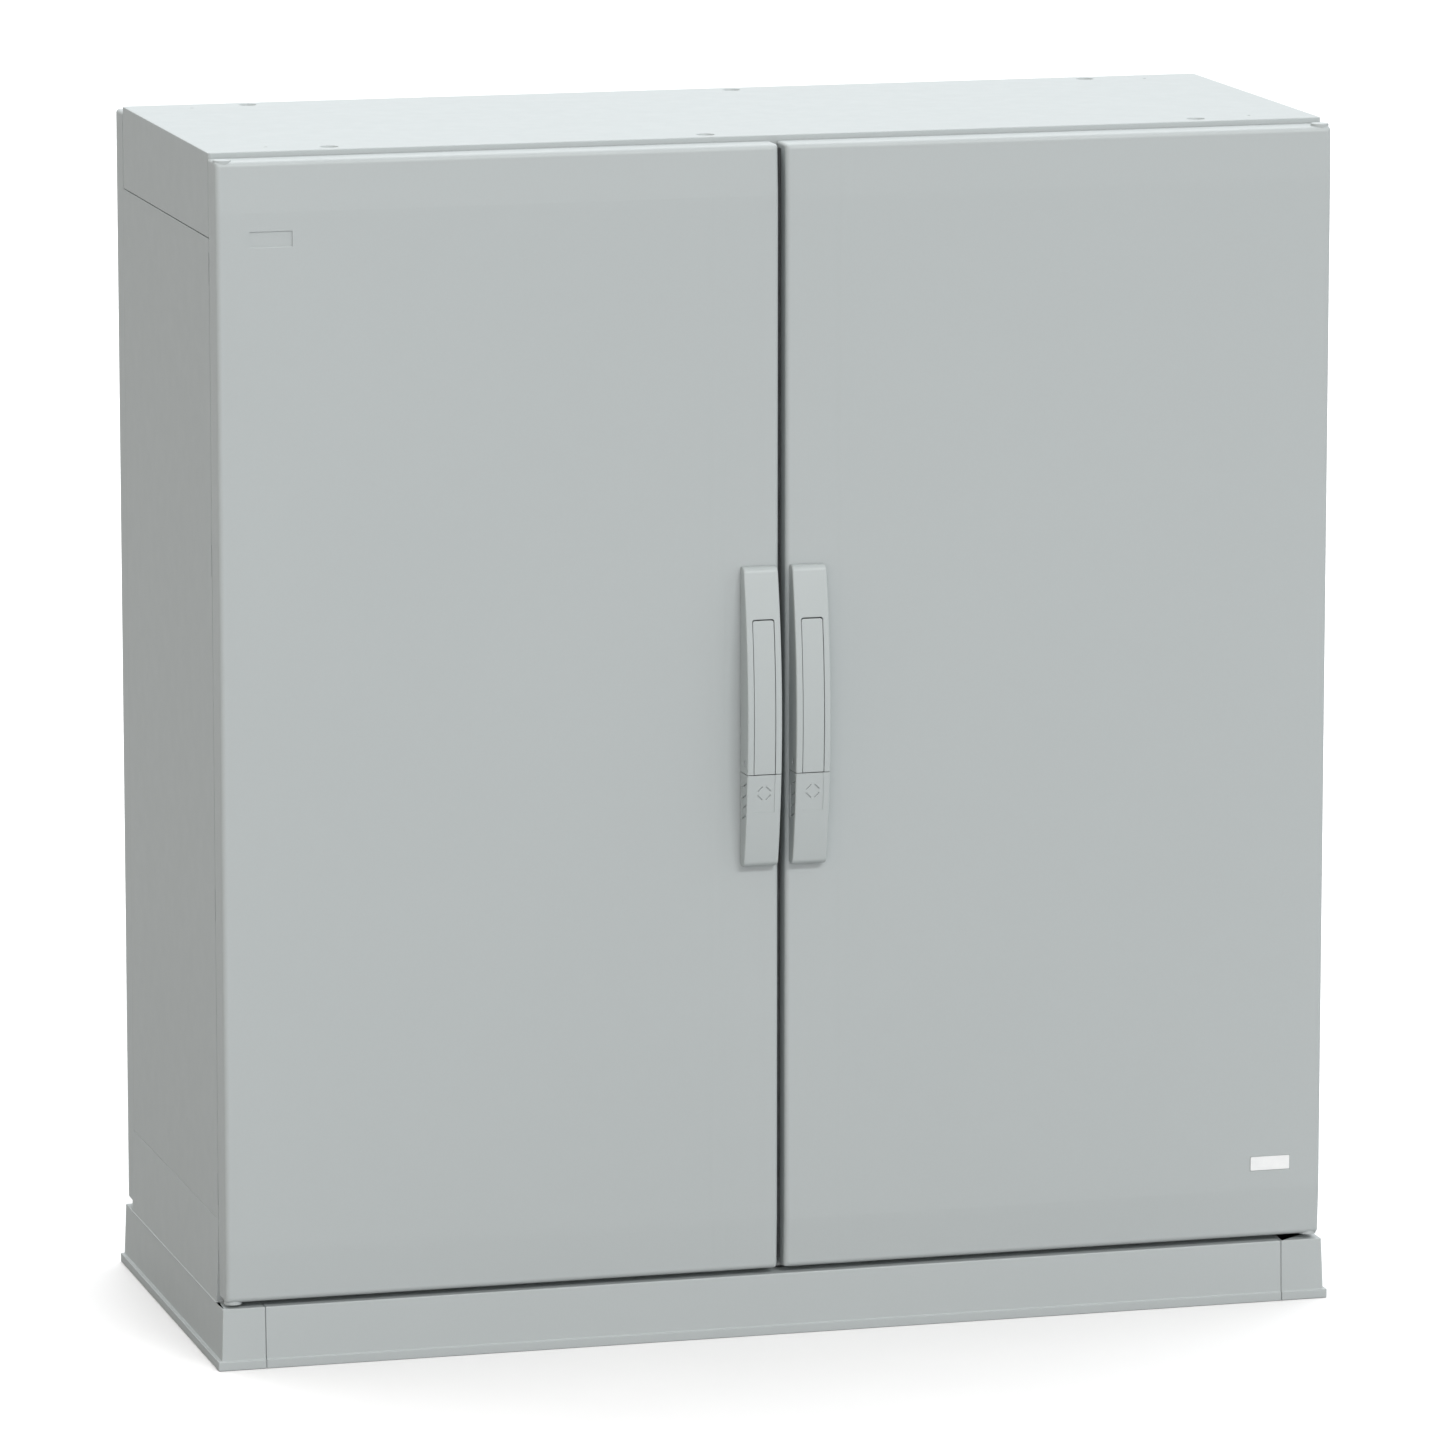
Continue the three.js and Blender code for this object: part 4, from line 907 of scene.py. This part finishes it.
def grommet(side):
    cx = -180 if side == "left" else 180
    z = PLINTH_TOP + GAP + WALL + GAP
    prof = [(30, z - 6), (44.6, z - 4), (44.6, z + 2.3), (52, z + 2.3), (52, z + 5.2), (51, z + 6), (44, z + 6.6), (38, z + 6.8), (35, z + 7.6), (32, z + 8), (30.4, z + 7.6), (30, z + 6.6)]
    n = 64
    verts, faces = [], []
    for i in range(n):
        a = 2 * math.pi * i / n
        for r, zz in prof:
            verts.append((cx + r * math.cos(a), 60 + r * math.sin(a), zz))
    k = len(prof)
    for i in range(n):
        for j in range(k):
            a, b = i * k + j, i * k + (j + 1) % k
            c, d = ((i + 1) % n) * k + (j + 1) % k, ((i + 1) % n) * k + j
            faces.append((a, b, c, d))
    ob = from_faces(side + "_grommet_ring", verts, faces)
    soften(ob, 0.4, 2, angle=50, smooth=45)
    return finish_piece(ob, M_RUBBER, "enclosure", side + "_cable_grommet")


# ------------------------------------------------------------------ screws
def screw_mesh(r=4.0, h=2.2, slot=True, washer=True):
    """A pan head on a washer, axis +Z, seat at z = 0, millimetres."""
    prof = []
    if washer:
        prof += [(r * 1.55, 0.0), (r * 1.55, 0.75), (r * 1.5, 0.9), (r * 1.02, 0.9)]
    else:
        prof += [(r, 0.0)]
    z = 0.9 if washer else 0.0
    for i in range(6):
        t = math.radians(18 * i)
        prof.append((r * (0.25 + 0.75 * math.cos(t)), z + h * (0.35 + 0.65 * math.sin(t))))
    loops = [[(x, y, zz) for x, y in circle(0, 0, rr, 28)] for rr, zz in prof]
    ob = rings("screw", loops)
    if slot:
        top = z + h + 1
        arms = []
        for a in (0.35, 0.35 + math.pi / 2):
            ca, sa = math.cos(a), math.sin(a)
            L, W = r * 0.52, r * 0.13
            q = [(L * ca - W * sa, L * sa + W * ca), (-L * ca - W * sa, -L * sa + W * ca), (-L * ca + W * sa, -L * sa - W * ca), (L * ca + W * sa, L * sa - W * ca)]
            arms.append(prism_z("c", q, z + h * 0.35, top))
        boolean(ob, arms)
    return ob.data.copy(), ob


def screws(name, body, places, r=4.0, h=2.2, washer=True, slot=True):
    """One mesh with a screw head at each (point, direction) of the list."""
    me, tmp = screw_mesh(r, h, slot, washer)
    bpy.data.objects.remove(tmp)
    bm = bmesh.new()
    for k, (p, d) in enumerate(places):
        part = me.copy()
        q = Vector(d).to_track_quat("Z", "Y").to_matrix().to_4x4()
        spin = Matrix.Rotation(0.7 * k, 4, "Z")
        part.transform(Matrix.Translation(Vector(p) * MM) @ q @ spin)
        bm.from_mesh(part)
        bpy.data.meshes.remove(part)
    out = bpy.data.meshes.new(name)
    bm.to_mesh(out)
    bm.free()
    ob = link(out, name)
    shade_by_angle(ob, 35)
    return finish_piece(ob, M_SCREW, body)


# ------------------------------------------------------------------ the visible shell
roof()
s = side_panel()
t = mirrored(s, "right_side_shell")
shade_by_angle(t, 40)
finish_piece(s, M_SHELL, "enclosure", "left_side_panel")
finish_piece(t, M_SHELL, "enclosure", "right_side_panel")
rear_panel()
s = base_moulding()
t = mirrored(s, "right_base_shell")
shade_by_angle(t, 40)
finish_piece(s, M_SHELL, "enclosure", "left_base_moulding")
finish_piece(t, M_SHELL, "enclosure", "right_base_moulding")
plinth_panel(True)
plinth_panel(False)
door(True)
door(False)

for make, node, mat, slot in (
    (handle_housing, "handle_housing", M_HANDLE, "handle"),
    (lever, "lever", M_HANDLE, "handle"),
    (lock_cover, "lock_cover", M_HANDLE, "handle"),
    (lock_insert, "lock_insert", M_INSERT, "lock_insert"),
):
    body = {"handle_housing": "leaf", "lever": "lever_arm", "lock_cover": "cover", "lock_insert": "insert"}[node]
    s = make()
    t = mirrored(s, s.name.replace("left", "right"))
    shade_by_angle(t, 36)
    finish_piece(s, mat, "left_" + body, "left_" + node)
    finish_piece(t, mat, "right_" + body, "right_" + node)

# label plate: blank, a thin plate with rounded corners
lp = prism_y("label_plate_body", rounded_rect(434.3, 470.8, 120.9, 133.3, 1.0, 4), DOOR_FRONT + 0.6, DOOR_FRONT - 0.25)
tidy(lp)
soften(lp, 0.15, 2)
finish_piece(lp, M_LABEL, "right_leaf", "label_plate")

for side in ("left", "right"):
    gasket(side == "left")
    grommet(side)

# ------------------------------------------------------------------ carried-over CAD pieces: edges and finishes
KEPT = {
    "floor_tray": (M_SHELL_IN, 0.8), "gland_plate": (M_GALV, 0.3), "mounting_plate": (M_GALV, 0.4),
    "upper_keeper": (M_STEEL, 0.3), "lower_keeper": (M_STEEL, 0.3),
}
for name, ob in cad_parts.items():
    if name in KEPT:
        mat, w = KEPT[name]
    elif any(k in name for k in ("hinge_bracket", "plate_bracket")):
        mat, w = M_STEEL, 0.35
    elif any(k in name for k in ("hinge_strip", "lever_pin", "lock_case", "pinion", "lock_rod", "rod_guide")):
        mat, w = M_STEEL, 0.2
    elif "meeting_seal" in name:
        mat, w = M_SEAL, 0.5
    else:
        mat, w = M_SHELL, 0.0
    ob.data.materials.clear()
    ob.data.materials.append(mat)
    if w:
        m = ob.modifiers.new("edge", "BEVEL")
        m.width = w * MM
        m.segments = 2
        m.limit_method = "ANGLE"
        m.angle_limit = math.radians(40)
        ob.data.polygons.foreach_set("use_smooth", [True] * len(ob.data.polygons))
        n = ob.modifiers.new("weighted", "WEIGHTED_NORMAL")
        n.weight = 80

# ------------------------------------------------------------------ fasteners
for side, sg in (("left", -1), ("right", 1)):
    p = []
    for z in HINGE_Z:
        for dz in (-22, 22):
            p.append(((sg * 484.5, -191.7, z + dz), (0, 1, 0)))
    for z in (280, 557, 834):
        p.append(((sg * 484.5, -191.7, z), (0, 1, 0)))
    screws(side + "_hinge_strip_screws", side + "_leaf", p, 3.0, 1.8)
    p = []
    for z in HINGE_Z:
        for dz in (-4.5, 4.5):
            p.append(((sg * 485.5, -160, z + dz), (0, 1, 0)))
    screws(side + "_hinge_bracket_screws", "enclosure", p, 2.2, 1.4, washer=False)
    p = []
    for z in (213, 899):
        pass
    for z in (230, 910):
        p.append(((sg * 480, 181.5, z + 8), (0, -1, 0)))
        p.append(((sg * 480, 181.5, z - 8), (0, -1, 0)))
    screws(side + "_plate_bracket_screws", "enclosure", p, 3.2, 2.0)

p = []
for x in (-480, 0, 480):
    for z in (82, 558, 1034):
        if (x, z) != (0, 558):
            p.append(((x, REAR_FACE - 2.6, z), (0, 1, 0)))
screws("rear_panel_screws", "enclosure", p, 4.6, 1.7, washer=False)
p = []
for x in (-335, -112, 112, 335):
    for y in (-27.5, 147.5):
        p.append(((x, y, PLINTH_TOP + 2 * GAP + WALL + 2), (0, 0, 1)))
screws("gland_plate_screws", "enclosure", p, 3.2, 2.0)
p = []
for x in (-50, 50):
    p.append(((x, -159.7, 1028), (0, 1, 0)))
    p.append(((x, -159.7, 84), (0, 1, 0)))
screws("keeper_screws", "enclosure", p, 3.2, 2.0)
p = []
for x in (-410, 410):
    for z in (230, 910):
        p.append(((x, 140, z), (0, -1, 0)))


def hex_nuts(name, places):
    obs = []
    for (x, y, z) in places:
        loops = []
        for r, yy in ((6.3, y), (6.5, y - 0.4), (6.5, y - 3.6), (6.0, y - 4.0)):
            loops.append([(px, yy, pz) for px, pz in circle(x, z, r, 6)])
        nut = rings("c", loops)
        boolean(nut, prism_y("c", circle(x, z, 4.15, 24), y - 6, y + 2))
        obs.append(nut)
    ob = merge(name, obs)
    shade_by_angle(ob, 30)
    return finish_piece(ob, M_SCREW, "enclosure")


hex_nuts("mounting_plate_nuts", [(x, 139.7, z) for x in (-410, 410) for z in (230, 910)])

# ------------------------------------------------------------------ floor, light, camera
def stage_floor():
    me = bpy.data.meshes.new("floor")
    n = 24
    R = 60.0
    verts = [(0, 0, 0)] + [(R * math.cos(2 * math.pi * i / n), R * math.sin(2 * math.pi * i / n), 0) for i in range(n)]
    me.from_pydata(verts, [], [(0, i + 1, (i + 1) % n + 1) for i in range(n)])
    ob = link(me, "floor")
    ob.location.z = -0.0002
    m, nt, bsdf = new_material("pale_floor")
    v = coords(nt)
    # pale to look at; it throws back less, so that the sides keep their modelling
    col = ramp(nt, noise(nt, v, 4.0, 3.0), [(0.3, (0.975, 0.975, 0.975)), (0.75, (0.995, 0.995, 0.995))])
    seen = nt.nodes.new("ShaderNodeLightPath").outputs["Is Camera Ray"]
    col = mix_rgb(nt, seen, (0.36, 0.36, 0.36), col)
    nt.links.new(col, bsdf.inputs["Base Color"])
    bsdf.inputs["Roughness"].default_value = 0.9
    bsdf.inputs["Specular IOR Level"].default_value = 0.1
    me.materials.append(m)


stage_floor()


# A soft studio environment made of broad lobes, and one key light; all strengths are linear RGB.
LIGHT = {
    "ambient": (0.004, 0.004, 0.004),
    "sky": (0.600, 0.600, 0.600),
    "left": (0.755, 0.675, 0.590),
    "right": (1.200, 1.200, 1.200),
    "back": (2.970, 3.030, 3.100),
    "front": (4.640, 4.500, 4.590),
    "key": (0.400, 0.400, 0.400),
}
LOBES = (
    ("sky", (0.0, 0.0, 1.0), 8.0),
    ("left", (-1.0, -0.10, 0.25), 3.0),
    ("right", (1.0, -0.40, 0.20), 3.0),
    ("back", (0.1, 0.8, 1.0), 4.0),
    ("front", (-0.27, -0.96, 0.18), 20.0),
)
KEY_FROM = ((0.06, -1.0, 0.80), (0.20, -1.0, 0.80), (0.34, -1.0, 0.80), (0.48, -1.0, 0.80))

w = bpy.data.worlds.new("studio")
SCENE.world = w
w.use_nodes = True
nt = w.node_tree
nt.nodes.clear()
out = nt.nodes.new("ShaderNodeOutputWorld")
direction = nt.nodes.new("ShaderNodeTexCoord").outputs["Generated"]


def lobe(u, power, colour):
    d = nt.nodes.new("ShaderNodeVectorMath")
    d.operation = "DOT_PRODUCT"
    nt.links.new(direction, d.inputs[0])
    d.inputs[1].default_value = Vector(u).normalized()
    m = nt.nodes.new("ShaderNodeMath")
    m.operation = "MAXIMUM"
    m.inputs[1].default_value = 0.0
    nt.links.new(d.outputs["Value"], m.inputs[0])
    p = nt.nodes.new("ShaderNodeMath")
    p.operation = "POWER"
    p.inputs[1].default_value = power
    nt.links.new(m.outputs[0], p.inputs[0])
    c = nt.nodes.new("ShaderNodeVectorMath")
    c.operation = "SCALE"
    c.inputs[0].default_value = colour
    nt.links.new(p.outputs[0], c.inputs["Scale"])
    return c.outputs["Vector"]


total = None
for term in [lobe(u, power, LIGHT[name]) for name, u, power in LOBES]:
    add = nt.nodes.new("ShaderNodeVectorMath")
    add.operation = "ADD"
    if total is None:
        add.inputs[0].default_value = LIGHT["ambient"]
    else:
        nt.links.new(total, add.inputs[0])
    nt.links.new(term, add.inputs[1])
    total = add.outputs["Vector"]
bg = nt.nodes.new("ShaderNodeBackground")
nt.links.new(total, bg.inputs["Color"])
white = nt.nodes.new("ShaderNodeBackground")
white.inputs["Color"].default_value = (1, 1, 1, 1)
path = nt.nodes.new("ShaderNodeLightPath")
mx = nt.nodes.new("ShaderNodeMixShader")
nt.links.new(path.outputs["Is Camera Ray"], mx.inputs["Fac"])
nt.links.new(bg.outputs[0], mx.inputs[1])
nt.links.new(white.outputs[0], mx.inputs[2])
nt.links.new(mx.outputs[0], out.inputs["Surface"])

# the key is a wide, narrow strip: four equal parts side by side
for i, u in enumerate(KEY_FROM):
    sun = bpy.data.lights.new("key_light_%d" % (i + 1), "SUN")
    sun.angle = math.radians(6.5)
    sun.energy = math.pi / len(KEY_FROM)
    sun.color = LIGHT["key"]
    so = bpy.data.objects.new("key_light_%d" % (i + 1), sun)
    SCENE.collection.objects.link(so)
    so.rotation_euler = Vector(u).to_track_quat("Z", "Y").to_euler()

cam = bpy.data.cameras.new("camera")
cam.lens = 232.24
cam.sensor_width = 36.0
cam.sensor_fit = "HORIZONTAL"
cam.clip_end = 60
co = bpy.data.objects.new("camera", cam)
SCENE.collection.objects.link(co)
co.location = (-2.16082, -7.89601, 2.01083)
co.rotation_euler = (math.radians(79.6354), 0, math.radians(-15.3057))
SCENE.camera = co
SCENE.view_settings.view_transform = "Standard"
SCENE.view_settings.look = "None"
